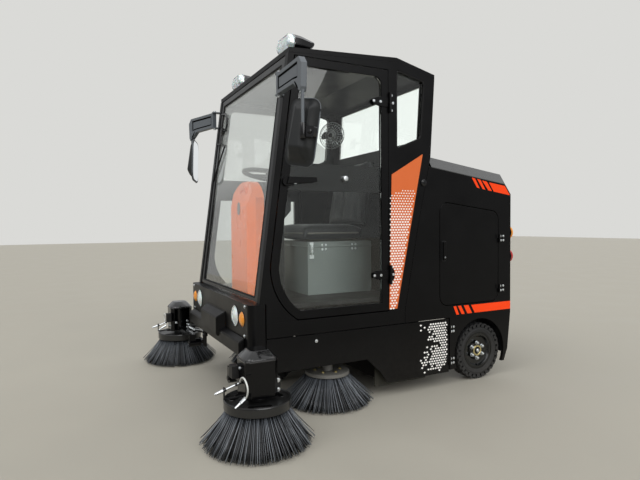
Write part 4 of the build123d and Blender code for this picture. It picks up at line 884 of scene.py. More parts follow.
@dataclass
class StrandMesh:
    """Bristle strands under construction, each with a tone of its own."""

    points: list[Vector] = field(default_factory=list)
    faces: list[tuple[int, ...]] = field(default_factory=list)
    tones: list[float] = field(default_factory=list)

    def place(self, name: str, body: str, node: str, smooth: bool = True) -> None:
        """Make the strands' object.

        Args:
            name: Its name.
            body: The CAD body that it moves with.
            node: The CAD node that it stands for.
            smooth: Whether it is shaded smooth.
        """
        data = bpy.data.meshes.new(name)
        data.from_pydata([metres(p) for p in self.points], [], self.faces)
        data.attributes.new("strand", "FLOAT", "POINT").data.foreach_set("value", self.tones)
        data.materials.append(NYLON.build())
        if smooth:
            data.shade_smooth()
        made = add_object(name, data)
        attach(made, body)
        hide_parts(node)
        LOG.info("%s: %d faces", name, len(self.faces))

@dataclass
class BristleSkirt:
    """The strands of a side brush, in tufts round its plate."""

    name: str
    body: str
    node: str
    centre: Flat
    top_radius: float
    top_z: float
    seed: int
    bolted: bool = False             # whether bolts show on its plate
    tufts: int = 156
    strands: int = 18
    tip_radius: float = 268.0
    low: float = 1.5
    strand_radius: float = 1.7
    stations: tuple[float, ...] = (0.0, 0.35, 0.7, 1.0)

    def build(self) -> None:
        """Make an outer ring of single strands, an inner ring of full tufts, whose near-black tones are
        painted shade, and the dark core.
        """
        rng = random.Random(self.seed)
        mesh = StrandMesh()
        rings = ((self.tufts, 1, 0.1), (self.tufts // 3, self.strands, 0.5))
        for ring, (tufts, strands, spread) in enumerate(rings):
            pitch = 2 * math.pi / tufts
            for tuft in range(tufts):
                middle = (tuft + 0.5 * ring) * pitch + rng.gauss(0, 0.09) * pitch
                lean = rng.gauss(0, 0.08) * pitch
                for _ in range(strands):
                    root = middle + rng.uniform(-spread, spread) * pitch * 0.8
                    tip = root + (lean + rng.gauss(0, 0.1) * spread * pitch) * 0.6
                    depth = rng.random()
                    reach = self.tip_radius - 20 * ring - 26 * depth - abs(rng.gauss(0, 2.5))
                    # Painted shade: strands of the inner ring get only the darkest tones; the outer ones vary
                    # at random.
                    tone = 0.1 * rng.random() if ring else 0.15 + 0.85 * rng.random()
                    inner = self.top_radius - 3 - 14 * ring - rng.uniform(0, 8)
                    foot = self.low + 26 * (1 - depth) ** 1.3 * (1 - 0.5 * ring) + rng.uniform(0, 4)
                    self.strand(mesh, (root, tip), (inner, reach), foot, 0.8 if ring else 1.3)
                    mesh.tones += [tone] * (3 * len(self.stations))
        mesh.place(self.name, self.body, self.node)
        self.core()

    def strand(self, mesh: StrandMesh, turn: Flat, reach: Flat, foot: float, thick: float) -> None:
        """Add one strand: a thin three-sided bar that bows outward.

        Args:
            mesh: The strands so far.
            turn: Angles of its root and tip round the brush.
            reach: Radii of its root and tip.
            foot: Height of its tip.
            thick: Its share of the usual thickness.
        """
        start = len(mesh.points)
        for share in self.stations:
            angle = turn[0] + (turn[1] - turn[0]) * share
            radius = reach[0] + (reach[1] - reach[0]) * share ** 1.1
            height = self.top_z + (foot - self.top_z) * share
            width = self.strand_radius * (1 - 0.3 * share) * thick
            out = Vector((math.cos(angle), math.sin(angle), 0))
            across = Vector((-out.y, out.x, 0))
            spot = Vector((self.centre[0], self.centre[1], height)) + out * radius
            mesh.points += [spot + across * width, spot - across * width,
                            spot + (out + Vector((0, 0, 1))) * width]
        for ring in range(len(self.stations) - 1):
            a, b = start + 3 * ring, start + 3 * ring + 3
            mesh.faces += [(a + s, a + (s + 1) % 3, b + (s + 1) % 3, b + s) for s in range(3)]
        end = len(mesh.points)
        mesh.faces += [(start + 2, start + 1, start), (end - 3, end - 2, end - 1)]

    def core(self) -> None:
        """The mass of inner strands as a near-black shell under the outer ones, which is painted shade among
        the strands, and the plate's bolts.
        """
        x, y = self.centre
        top, tip = self.top_radius - 34, self.tip_radius - 62
        middle = (top + tip) / 2
        profile = [(top, self.top_z), (middle - 10, self.top_z * 0.5), (tip, 10.0), (tip - 40, 10.0),
                   (middle - 50, self.top_z * 0.5), (top - 40, self.top_z)]
        Solid().lathe(profile, Facing.PLAN.at(x, y), 56).piece(
            self.name + "_core", BRISTLE_CORE, self.body, "bristle", smooth=60)
        if self.bolted:
            bolts = Solid()
            for index in range(6):
                turn = math.radians(60 * index + 12)
                bolts.bolt((x + 72 * math.cos(turn), y + 72 * math.sin(turn), 178), (0, 0, 1), 7, 7)
            bolts.piece(self.name + "_bolts", BRASS_ZINC, self.body, "plate_plastic")


@dataclass
class FrontBrushGear:
    """A front brush's tray-shaped plate, and what its lifting arm carries: links, spray nozzle and hose."""

    side: Side
    centre: Flat = FRONT_BRUSH
    plate_radius: float = 155.0
    box_half: float = 76.5
    slot_turns: tuple[float, ...] = (-14.0, 106.0, 226.0)
    hose_route: tuple[Point, ...] = ((836, -126, 292), (868, -134, 322), (928, -138, 342), (972, -136, 312),
                                     (948, -129, 266), (919, -129, 243))
    hose_length: float = 0.236       # metres, along the spline
    hose_diameter: float = 0.0075

    def build(self) -> None:
        """Make the pieces of one side."""
        self.plate()
        self.fittings()
        self.links()
        self.nozzle()
        self.hose()

    def plate(self) -> None:
        """The tray with its rolled rim, and three oval slots in its floor."""
        tail, frame = self.side.tail, self.side.frame
        x, y = self.centre
        body = f"front_brush_{tail}"
        rim = self.plate_radius
        wall = [(0, 167), (rim - 6, 167), (rim - 1, 170), (rim, 176), (rim, 205), (rim + 1.5, 208),
                (rim, 213), (rim - 4, 214), (rim - 7, 211), (rim - 9, 204), (rim - 14, 202)]
        hub = [(62, 203), (46, 206), (41, 212), (40, 225), (0, 225)]
        tray = Solid(frame).lathe(wall + hub, Facing.PLAN.at(x, y), 72)
        tray.piece(f"front_brush_tray_{tail}", PLATE_PLASTIC, body, "plate_plastic",
                   (f"front_brush_plate_{tail}",), 24)
        lips = Solid(frame)
        holes = Solid(frame)
        for turn in self.slot_turns:
            spot = (Matrix.Translation((x, y, 0)) @ Matrix.Rotation(math.radians(turn), 4, "Z")
                    @ Matrix.Translation((106, 0, 0)))
            lips.prism(arc((0, 42), 15, 0, 180, 8) + arc((0, -42), 15, 180, 360, 8), 201.0, 204.6, spot)
            holes.prism(arc((0, 42), 11.5, 0, 180, 8) + arc((0, -42), 11.5, 180, 360, 8), 201.0, 205.2, spot)
        lips.bevel(1.2, 1).piece(f"front_brush_slot_lips_{tail}", PLATE_PLASTIC, body, "plate_plastic")
        # Painted shade: a near-black fill in the three slots, where the holes lie in shade.
        holes.piece(f"front_brush_slots_{tail}", DARK_SLOT, body, "plate_plastic")

    def fittings(self) -> None:
        """Plated bolts and small brackets round the motor's cover, and its cap with cut corners."""
        tail, frame = self.side.tail, self.side.frame
        x, y = self.centre
        inner = x - self.box_half
        bolts = Solid(frame)
        for along, height in ((-86, 291), (-5, 297), (-3, 274), (-6, 252)):
            bolts.bolt((inner, along, height), (-1, 0, 0), 6, 6)
        for height in (284, 240):
            bolts.bolt((x + 24, 50, height), (1, 0, 0), 7, 7)
        bolts.bolt((x - 20, y - self.box_half, 352), (0, -1, 0), 6, 6)
        bolts.piece(f"front_arm_bolts_{tail}", ZINC, f"front_lift_{tail}", "frame_paint")
        plates = Solid(frame)
        plates.box((x - 44, x + 24), (y + self.box_half - 2, 62), (226, 300))
        plates.prism([(inner - 4, 300), (inner - 4, 360), (inner + 44, 360), (inner + 44, 300)], 0, 34,
                     Facing.FRONT.at(0, y - self.box_half + 1, 0))
        cap = Solid(frame)
        rings = []
        for half, cut, z in ((77.4, 20.0, 392), (77.4, 20.0, 401), (46.0, 12.0, 437)):
            near = half - cut
            corners = ((-near, -half), (near, -half), (half, -near), (half, near), (near, half),
                       (-near, half), (-half, near), (-half, -near))
            rings += [(x + a, y + b, z) for a, b in corners]
        cap.add(rings, [tuple(range(8)), tuple(range(16, 24))]
                + [(8 * k + s, 8 * k + (s + 1) % 8, 8 * k + 8 + (s + 1) % 8, 8 * k + 8 + s)
                   for k in range(2) for s in range(8)])
        # Painted light: the cap takes a lighter copy of the covers' enamel.
        cap.bevel(3, 2, 20).piece(f"front_arm_cap_{tail}", CAP_ENAMEL, f"front_lift_{tail}", "frame_paint")
        plates.bevel(2, 1).piece(f"front_arm_brackets_{tail}", FRAME_COAT, f"front_lift_{tail}",
                                 "frame_paint")

    def links(self) -> None:
        """The parallel link above the beam, its pins and the balance spring beside it."""
        tail, frame = self.side.tail, self.side.frame
        body = f"front_lift_{tail}"
        bar = Solid(frame)
        bar.rod((716, 4, 275), (452, 52, 292), 8, 6).rod((700, -8, 246), (458, 60, 258), 7, 6)
        bar.box((440, 474), (40, 64), (236, 304))
        bar.bevel(1.2, 1).piece(f"front_link_{tail}", FRAME_COAT, body, "frame_paint")
        pins = Solid(frame)
        for x, y, z in ((712, -4, 275), (464, 32, 294), (466, 40, 272), (458, 40, 246), (696, -15, 246)):
            pins.bolt((x, y, z), (0, -1, 0), 8, 8)
        turns = 11
        coil = []
        for step in range(turns * 8 + 1):
            angle, share = 2 * math.pi * step / 8, step / (turns * 8)
            coil.append((636 - 96 * share, -14 + 8 * share + 8 * math.cos(angle), 274 + 8 * math.sin(angle)))
        pins.tube(coil, 1.9, 6)
        pins.rod((690, -14, 266), (634, -14, 274), 2.8).rod((542, -6, 274), (466, 32, 278), 2.8)
        pins.piece(f"front_link_pins_{tail}", ZINC, body, "frame_paint")

    def nozzle(self) -> None:
        """The spray rod on its post, and the end fitting of the hose."""
        tail, frame = self.side.tail, self.side.frame
        x, y = self.centre
        body = f"front_lift_{tail}"
        post = Solid(frame)
        post.box((x - 5, x + 5), (-204, -198), (228, 282))
        post.box((x - 5, x + 5), (-204, y - self.box_half), (226, 232))
        post.rod((x, -150, 283.6), (x, -139, 287), 7).rod((x, -206, 267), (x, -192, 271), 9)
        post.rod((x, -132, 289), (x, -121, 292.5), 6.5)
        post.bevel(0.8, 1).piece(f"spray_bracket_{tail}", GLOSS_BLACK, body, "black_plastic")
        rod = Solid(frame)
        rod.rod((x, -126, 291), (x, -204, 267.5), 4.4).rod((x, -204, 267.5), (x, -238, 257.5), 8, tip=5.5)
        rod.rod((x, -238, 257.5), (x, -245, 255.5), 5.5, tip=3)
        rod.rod((917, -128, 246), (928, -156, 230), 7.5, 6)
        rod.rod((928, -156, 230), (929, -180, 213), 6.5, 12, 4.5)
        rod.piece(f"spray_rod_{tail}", ZINC, body, "frame_paint")

    def hose(self) -> None:
        """The short stiff hose that loops from the rod down to its end fitting."""
        tail, sign = self.side.tail, self.side.value
        curve = bpy.data.curves.new(f"spray_hose_{tail}", "CURVE")
        curve.dimensions = "3D"
        spline = curve.splines.new("NURBS")
        spline.points.add(len(self.hose_route) - 1)
        for point, spot in zip(spline.points, self.hose_route):
            point.co = (*metres((spot[0] * sign, spot[1], spot[2])), 1.0)
        spline.order_u = 3
        spline.use_endpoint_u = True
        curve.bevel_depth = self.hose_diameter / 2
        curve.bevel_resolution = 3
        curve.resolution_u = 10
        curve.use_fill_caps = True
        curve.materials.append(HOSE_SKIN.build())
        made = add_object(f"spray_hose_{tail}", curve)
        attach(made, f"front_lift_{tail}")
        LOG.info("%s rides on front_lift_%s", made.name, tail)


@dataclass
class RoadWheel:
    """A tyre with block tread, its nuts and its hub ring."""

    name: str
    tyre_node: str
    body: str
    centre: Point
    width: float
    face: int                     # the side that the rim's dish faces
    radius: float = 181.0
    rim_radius: float = 114.0
    blocks: int = 28
    nut_circle: float = 49.0

    def build(self) -> None:
        """Make the carcass, the tread and the hub's metal."""
        frame = Facing.PLAN.at() @ Matrix.Translation(self.centre) @ Matrix.Rotation(math.pi / 2, 4, "Y")
        half = self.width / 2
        base = self.radius - 10
        ribs = [(134, half), (137, half + 1.6), (141, half + 1.6), (144, half - 0.4)]
        side = [(self.rim_radius, half - 9), (self.rim_radius + 5, half - 3), (128, half)] + ribs
        side += [(151, half - 1), (154, half - 9), (base - 5, half - 16), (base, half - 24)]
        profile = side + [(r, -h) for r, h in reversed(side)]
        tyre = Solid().lathe(profile, frame, 72)
        self.tread(tyre, frame, half, base)
        tyre.piece(self.name + "_tyre", TYRE_RUBBER, self.body, "tyre", (self.tyre_node,), 28)
        self.hub(frame)

    def tread(self, tyre: Solid, frame: Matrix, half: float, base: float) -> None:
        """Blocks in four staggered rows; the outer ones wrap over the shoulders.

        Args:
            tyre: The mesh that they join.
            frame: The wheel's frame, with its axle as z.
            half: Half the tyre's width.
            base: Radius of the ground between the blocks.
        """
        step = 360 / self.blocks
        lift = Matrix.Rotation(math.pi / 2, 4, "Y") @ Matrix.Rotation(math.pi / 2, 4, "Z")
        rows = ((half * 0.52, half - 3), (half * 0.05, half * 0.44), (-half * 0.44, -half * 0.05),
                (3 - half, -half * 0.52))
        for index in range(self.blocks):
            for row, (low, high) in enumerate(rows):
                turn = (index + 0.5 * (row % 2)) * step
                spot = frame @ Matrix.Rotation(math.radians(turn), 4, "Z")
                wide = math.radians(step * 0.31) * self.radius
                outer = row in (0, 3)
                skew = 5.0 if row in (1, 2) else 0.0
                block = [(-wide + skew, low), (wide + skew, low), (wide - skew, high), (-wide - skew, high)]
                tyre.prism([(-across, -along) for across, along in block], base - 3,
                           self.radius - (2.2 if outer else 0.9), spot @ lift)
                if outer:
                    edge = half - 22 if row == 0 else 22 - half
                    out = half + 0.8 if row == 0 else -half - 0.8
                    foot = 149 + 5 * (index % 2)
                    tyre.add([(foot, -wide, edge), (foot, wide, edge), (foot, wide * 0.9, out * 0.985),
                              (foot, -wide * 0.9, out * 0.985), (self.radius - 2, -wide, edge),
                              (self.radius - 2, wide, edge), (self.radius - 9, wide * 0.94, out),
                              (self.radius - 9, -wide * 0.94, out)],
                             BOX_FACES, spot)

    def hub(self, frame: Matrix) -> None:
        """Plated nuts on studs, a hub ring and the valve.

        Args:
            frame: The wheel's frame, with its axle as z.
        """
        spin = frame @ Matrix.Scale(self.face, 4, (0, 0, 1))
        nuts = Solid()
        nut = [(0, 0), (12.5, 0), (12.5, 2), (10.4, 2.2), (10.4, 13), (8.8, 14.6), (5, 14.8), (5, 20),
               (3.6, 21), (0, 21)]
        for index in range(6):
            turn = math.radians(index * 60)
            across, up = self.nut_circle * math.cos(turn), self.nut_circle * math.sin(turn)
            spot = spin @ Matrix.Translation((across, up, 30))
            nuts.lathe(nut, spot, 6)
            nuts.lathe([(0, 0), (12, 0), (12, 2.4), (0, 2.4)], spot, 20)
        nuts.lathe([(0, 36), (12, 36), (12, 44), (8, 47), (0, 47)], spin, 24)
        nuts.piece(self.name + "_nuts", ZINC, self.body, "rim_paint")
        ring = Solid().lathe([(24, 34), (34, 34), (35, 36), (33, 39.5), (26, 39.5), (24, 38)], spin, 48)
        ring.piece(self.name + "_hub_ring", BRASS_ZINC, self.body, "rim_paint")
        rim, half = self.rim_radius, self.width / 2
        trim = Solid().lathe([(rim - 3, half - 7), (rim + 1, half - 7), (rim + 2, half - 3.5),
                              (rim - 2, half - 3.5)], spin, 72)
        trim.rod(spin @ Vector((88, 0, half - 24)), spin @ Vector((94, 0, half - 8)), 3.2, 10)
        trim.piece(self.name + "_rim_lip", RIM_ENAMEL, self.body, "rim_paint")


@dataclass
class MainBrush:
    """The roller under the machine: bristle rows in a shallow spiral on their core."""

    centre: Flat = (1070.0, 142.0)     # y, z
    radius: float = 139.0
    core_radius: float = 62.0
    half: float = 400.0
    rows: int = 14
    tufts: int = 110                   # in a row
    strands: int = 6                   # in a tuft
    strand_radius: float = 1.4
    seed: int = 31

    def build(self) -> None:
        """Make the core and the tufts."""
        y, z = self.centre
        core = Solid()
        core.rod((-self.half - 50, y, z), (self.half + 50, y, z), 15.8, 20)
        core.rod((-self.half, y, z), (self.half, y, z), self.core_radius, 32)
        core.piece("main_brush_core", PLATE_PLASTIC, "main_roller", "bristle")
        rng = random.Random(self.seed)
        mesh = StrandMesh()
        for row in range(self.rows):
            for step in range(self.tufts):
                x = -self.half + 4 + (2 * self.half - 8) * step / (self.tufts - 1)
                turn = 2 * math.pi * (row / self.rows + 0.12 * x / self.half)
                for _ in range(self.strands):
                    angle = turn + rng.gauss(0, 0.05)
                    out = Vector((0, math.cos(angle), math.sin(angle)))
                    aside = Vector((0, -out.z, out.y)) * self.strand_radius
                    along = Vector((self.strand_radius, 0, 0))
                    root = Vector((x + rng.uniform(-3, 3), y, z)) + out * (self.core_radius - 3)
                    tip = root + out * (self.radius - self.core_radius - rng.uniform(0, 6))
                    tip += along * rng.gauss(0, 2)
                    a = len(mesh.points)
                    mesh.points += [root + along, root - along, root + aside, tip + along * 0.6,
                                    tip - along * 0.6, tip + aside * 0.6]
                    mesh.faces += [(a, a + 1, a + 4, a + 3), (a + 1, a + 2, a + 5, a + 4),
                                   (a + 2, a, a + 3, a + 5), (a + 3, a + 4, a + 5)]
                    mesh.tones += [rng.random()] * 6
        mesh.place("main_brush_tufts", "main_roller", "main_brush", smooth=False)


@dataclass
class SideFilms:
    """Printed films on the sides: slanted orange bars and fields of small lozenges that thin out."""

    lower_bars: tuple[tuple[Flat, ...], ...] = (
        ((1336, 488), (1357, 488), (1381, 434), (1360, 434)),
        ((1372, 488), (1397, 488), (1428, 434), (1403, 434)),
        ((1420, 487), (1459, 487), (1490, 434), (1451, 434)),
        ((1482, 486), (1829, 486), (1829, 434), (1513, 434)))
    upper_bars: tuple[tuple[Flat, ...], ...] = (
        ((1486, 1294), (1513, 1289), (1553, 1228), (1530, 1232)),
        ((1531, 1287), (1560, 1282), (1603, 1220), (1579, 1224)),
        ((1574, 1279), (1616, 1271), (1661, 1212), (1628, 1217)),
        ((1634, 1268), (1776, 1249), (1823, 1189), (1676, 1210)))
    seed: int = 5
    pitch_y: float = 19.0              # spacing of the lozenges along a row
    pitch_z: float = 15.2              # and between rows
    size: float = 8.6                  # half a lozenge's length
    panel_foot: Flat = (906.0, 511.0)  # y, z where the orange panel's rear edge starts
    panel_head: Flat = (1094.0, 1418.0)
    panel_proud: float = 2.8           # how far that panel stands out

    def build(self) -> None:
        """Make both sides."""
        for side in Side:
            bars = Solid(side.frame)
            for outline in self.lower_bars + self.upper_bars:
                bars.prism(outline, 0.05, FILM, Facing.SIDE.at(BODY_HALF))
            bars.piece(f"orange_bars_{side.tail}", STRIPE_FILM, "root", "orange_paint")
            self.skirt_field(side)
            self.panel_field(side)

    def skirt_field(self, side: Side) -> None:
        """White lozenges in rows that thin out toward the front.

        Args:
            side: The side that they are on.
        """
        rng = random.Random(self.seed)
        marks = Solid(side.frame)
        for row in range(20):
            z = 104 + row * self.pitch_z
            for column in range(16):
                y = 1280 - column * self.pitch_y - (self.pitch_y / 2 if row % 2 else 0)
                reach = 1289 - y
                lower = 0.35 * max(0.0, 150 - z) + 40 * math.sin(z / 38) - 22
                keep = 1.35 - (reach + lower) / 150
                if y > 1225 + 64 * min(1.0, (z - 93) / 66) or rng.random() > keep:
                    continue
                self.lozenge(marks, y, z, self.size, BODY_HALF)
        marks.piece(f"white_lozenges_{side.tail}", WHITE_FILM, f"lower_skirt_{side.tail}", "orange_paint")

    def panel_field(self, side: Side) -> None:
        """White lozenges on the orange panel, down from a slanting edge.

        Args:
            side: The side that they are on.
        """
        marks = Solid(side.frame)
        for row in range(46):
            z = 514 + row * self.pitch_z
            for column in range(14):
                y = 861 + column * self.pitch_y + (self.pitch_y / 2 if row % 2 else 0)
                if y > self.panel_rear(z) - 9 or z > 1176 + (y - 860) * 0.42 - 14 * (column % 2):
                    continue
                size = self.size - 3.0 * max(0.0, (z - 1010) / 190)
                self.lozenge(marks, y, z, size, BODY_HALF + self.panel_proud)
        marks.piece(f"panel_lozenges_{side.tail}", WHITE_FILM, "root", "orange_paint")

    def lozenge(self, solid: Solid, y: float, z: float, size: float, face: float) -> None:
        """One small lozenge of film, as high as three quarters of its length."""
        solid.prism([(y - size, z), (y, z - size * 0.75), (y + size, z), (y, z + size * 0.75)], 0.05, FILM,
                    Facing.SIDE.at(face))

    def panel_rear(self, z: float) -> float:
        """Rear edge of the orange panel at a height."""
        (foot_y, foot_z), (head_y, head_z) = self.panel_foot, self.panel_head
        return foot_y + (head_y - foot_y) * (z - foot_z) / (head_z - foot_z)


@dataclass
class PanelFittings:
    """Bolts, seals, caps and seams on the body panels."""

    hinge_bolts: tuple[Flat, ...] = ((1316, 361), (1338, 361), (1338, 334), (1316, 334),
                                     (1316, 163), (1338, 163), (1338, 136), (1316, 136))
    hatch_bolts: tuple[Flat, ...] = ((1738, 592), (1764, 592), (1764, 564), (1738, 564),
                                     (1738, 920), (1764, 920), (1764, 892), (1738, 892))
    on_leaf: tuple[Flat, ...] = ((1316, 334), (1316, 136), (1738, 564), (1738, 892))
    leaf: float = 4.0                  # thickness of a hinge leaf, which some bolts stand on
    post_bolts: tuple[Flat, ...] = ((868, 755), (878, 712), (868, 669), (868, 1740), (878, 1697), (868, 1654))
    strap_bolts: tuple[Flat, ...] = ((746, 712), (791, 712), (746, 1697), (791, 1697))
    handle: Flat = (252.0, 1226.0)
    screen_foot: Flat = (54.0, 598.0)  # y, z of the leaning front of the cab
    screen_head: Flat = (232.0, 1920.0)

    def build(self) -> None:
        """Make both sides and the front."""
        for side in Side:
            self.bolts(side)
            self.seals(side)
            self.latches(side)
        self.front()

    def bolts(self, side: Side) -> None:
        """Plated bolts of the skirt, hatch and door hinges, and the door's turned metal.

        Args:
            side: The side that they are on.
        """
        panel = Solid(side.frame)
        for y, z in self.hinge_bolts + self.hatch_bolts:
            seat = self.leaf if (y, z) in self.on_leaf else 0.0
            panel.bolt((BODY_HALF + seat, y, z), (1, 0, 0), 5.2, 4.5)
        for y, z in self.post_bolts:
            panel.bolt((BODY_HALF + 5, y, z), (1, 0, 0), 5.2, 5)
        panel.piece(f"panel_bolts_{side.tail}", ZINC, "root", "frame_paint")
        door = Solid(side.frame)
        for y, z in self.strap_bolts:
            door.bolt((BODY_HALF + 8, y, z), (1, 0, 0), 5.2, 5)
        handle = Facing.SIDE.at(BODY_HALF + 19, *self.handle)
        door.lathe([(0, 0), (17, 0), (17, 12), (13, 19), (0, 21)],
                   Facing.SIDE.at(BODY_HALF - 7, 561, 1255), 28)
        door.lathe([(7, 0), (11, 0), (11, 2.6), (7, 2.6)], handle, 24)
        door.lathe([(0, 0), (6, 0), (6, 2), (0, 2)], handle, 20)
        door.piece(f"door_bolts_{side.tail}", ZINC, f"cab_door_{side.tail}", "frame_paint")
        skirt = Solid(side.frame).bolt((BODY_HALF, 377, 379), (1, 0, 0), 6, 5)
        skirt.piece(f"skirt_lock_{side.tail}", ZINC, f"lower_skirt_{side.tail}", "frame_paint")

    def seals(self, side: Side) -> None:
        """The quarter window's seal, the bead round the hatch and a round cap.

        Args:
            side: The side that they are on.
        """
        seal = Solid(side.frame)
        outline = rounded([(908, 1889), (1109, 1847), (1083, 1510), (908, 1438)], 26)
        seal.tube(ring_outline(outline, BODY_HALF - 5), 5.5, 8, True)
        seal.piece(f"quarter_window_seal_{side.tail}", EPDM, "root", "rubber")
        seam = Solid(side.frame)
        edge = rounded([(1233, 504), (1233, 1134), (1711, 1074), (1711, 504)], 54)
        seam.tube(ring_outline(edge, BODY_HALF - 2.2), 2.4, 6, True)
        seam.piece(f"hatch_edge_bead_{side.tail}", POWDER_COAT, f"rear_hatch_{side.tail}", "body_paint")
        cap = Solid(side.frame).lathe([(0, 0), (21, 0), (21, 6), (15, 12), (8, 13), (8, 16), (0, 16)],
                                      Facing.SIDE.at(BODY_HALF, 1102, 1249), 32)
        cap.piece(f"round_cap_{side.tail}", GLOSS_BLACK, "root", "black_plastic")

    def latches(self, side: Side) -> None:
        """The hatch's flush latch with its key bolt.

        Args:
            side: The side that they are on.
        """
        body = f"rear_hatch_{side.tail}"
        outline = rounded([(1240, 773), (1274, 773), (1274, 898), (1240, 898)], 8)
        plate = Solid(side.frame).prism(outline, 0, 3.5, Facing.SIDE.at(BODY_HALF))
        plate.bevel(0.8, 1).piece(f"hatch_latch_plate_{side.tail}", MOULDED_BLACK, body, "black_plastic")
        key = Solid(side.frame).lathe([(0, 0), (6, 0), (6, 2.5), (4, 4), (0, 4)],
                                      Facing.SIDE.at(BODY_HALF + 14, 1257, 797), 24)
        key.piece(f"hatch_latch_key_{side.tail}", BADGE_GREY, body, "frame_paint")

    def front(self) -> None:
        """Bolts of the front panel, the bumper and the windscreen's trim."""
        bolts = Solid()
        for x, z in ((544, 585), (534, 432)):
            for side in (1, -1):
                bolts.bolt((x * side, 0, z), (0, -1, 0), 6.5, 5.5)
        bolts.piece("front_panel_bolts", ZINC, "root", "frame_paint")
        beam = [(-0.5, 332), (-34, 332), (-34, 402), (-0.5, 424)]
        bumper = Solid().prism(beam, -540, 540, Facing.SIDE.at()).bevel(4, 2)
        raised = Solid().add([(-200, -0.5, 352), (200, -0.5, 352), (200, -0.5, 508), (-200, -0.5, 508),
                              (-170, -48, 372), (170, -48, 372), (170, -48, 476), (-170, -48, 476)],
                             BOX_FACES)
        raised.bevel(4, 2).piece("bumper_raised_part", POWDER_COAT, "root", "body_paint")
        bumper.piece("bumper_beam", POWDER_COAT, "root", "body_paint", ("front_bumper",))
        self.screen_trim()

    def screen_trim(self) -> None:
        """The grey band round the windscreen, and the black rubber at its inner edge."""
        band = Solid()
        rubber = Solid()
        wide, half = 571.0, 518.0
        low, inner_low, inner_top, top = 606.0, 626.0, 1850.0, 1887.0
        for x, z in (((half, wide), (low, top)), ((-wide, -half), (low, top)),
                     ((-half, half), (inner_top, top)), ((-half, half), (low, inner_low))):
            corners = ((x[0], z[0]), (x[1], z[0]), (x[1], z[1]), (x[0], z[1]))
            points = [(a, self.screen_face(c) + depth, c) for depth in (5, 11) for a, c in corners]
            band.add(points, BOX_FACES)
        corners = [(-half, inner_low), (half, inner_low), (half, inner_top), (-half, inner_top)]
        for start, end in zip(corners, corners[1:] + corners[:1]):
            rubber.rod((start[0], self.screen_face(start[1]) + 7, start[1]),
                       (end[0], self.screen_face(end[1]) + 7, end[1]), 5, 8)
        band.piece("windscreen_band", SCREEN_TRIM, "root", "black_plastic")
        rubber.piece("windscreen_seal", EPDM, "root", "rubber")

    def screen_face(self, z: float) -> float:
        """How far back the leaning front of the cab lies at a height."""
        (foot_y, foot_z), (head_y, head_z) = self.screen_foot, self.screen_head
        return foot_y + (head_y - foot_y) * (z - foot_z) / (head_z - foot_z)


@dataclass
class WheelArches:
    """Black inner arches that close the body round the rear wheels."""

    centre: Flat = REAR_WHEEL[1:]        # y, z
    radius: float = 214.0

    def build(self) -> None:
        """Make both arches with their inner walls."""
        liner = Solid()
        for side in Side:
            place = side.frame @ Facing.SIDE.at(0, self.centre[0], self.centre[1])
            outer = arc((0, 0), self.radius + 3, -8, 188, 30)
            liner.prism(outer + arc((0, 0), self.radius, 188, -8, 30), 462, 607, place)
            liner.prism(outer + arc((0, 0), 66, 188, -8, 20), 458, 462, place)
        liner.piece("wheel_arch_liners", MOULDED_BLACK, "root", "black_plastic")


@dataclass
class FrontLamps:
    """Head lamps with faceted reflectors, the indicators' domes and the round lamps' rims."""

    centre: Flat = (379.5, 514.0)
    indicator_x: float = 499.0
    tail_x: float = 566.0
    tail_heights: Flat = (942.0, 785.0)

    def build(self) -> None:
        """Replace the plain lamp solids."""
        x, z = self.centre
        bowl = Solid()
        cover = Solid()
        bezel = Solid()
        bowl_profile = [(0, 12), (12, 8), (18, 12), (30, 5), (36, 8), (46, 0), (51, 3), (55, 1), (55, -24),
                        (0, -24)]
        cover_profile = [(0, 20), (20, 18.5), (38, 13), (50, 6), (56, 1), (56, -1), (48, 4), (36, 11),
                         (19, 16.5), (0, 18)]
        for side in (1, -1):
            frame = Facing.FRONT.at(x * side, 0, z)
            bowl.lathe(bowl_profile, frame, 24)
            cover.lathe(cover_profile, frame, 40)
            bezel.lathe([(55, -4), (60, -4), (61, 2), (58, 3.4), (55.5, 2.4)], frame, 48)
        bowl.piece("head_lamp_reflectors", REFLECTOR, "root", "clear_lens", smooth=8)
        cover.piece("head_lamp_covers", LENS_COVER, "root", "clear_lens", ("head_lamps",))
        bezel.piece("head_lamp_bezels", GLOSS_BLACK, "root", "black_plastic")
        dome = Solid()
        for side in (1, -1):
            dome.lathe([(0, 15), (14, 14), (27, 9.5), (36, 3), (39, -2), (0, -2)],
                       Facing.FRONT.at(self.indicator_x * side, 0, z), 36)
        dome.piece("indicator_domes", AMBER_LENS, "root", "amber_lens")
        rims = Solid()
        for side in (1, -1):
            rims.lathe([(39, -3), (42.5, -3), (43, 1.6), (40, 2.6)],
                       Facing.FRONT.at(self.indicator_x * side, 0, z), 40)
            for height in self.tail_heights:
                rims.lathe([(44.2, 0), (49, 0), (49, 5), (46, 7), (44.2, 6)],
                           Facing.REAR.at(self.tail_x * side, 1830.2, height), 40)
        rims.piece("round_lamp_rims", GLOSS_BLACK, "root", "black_plastic")


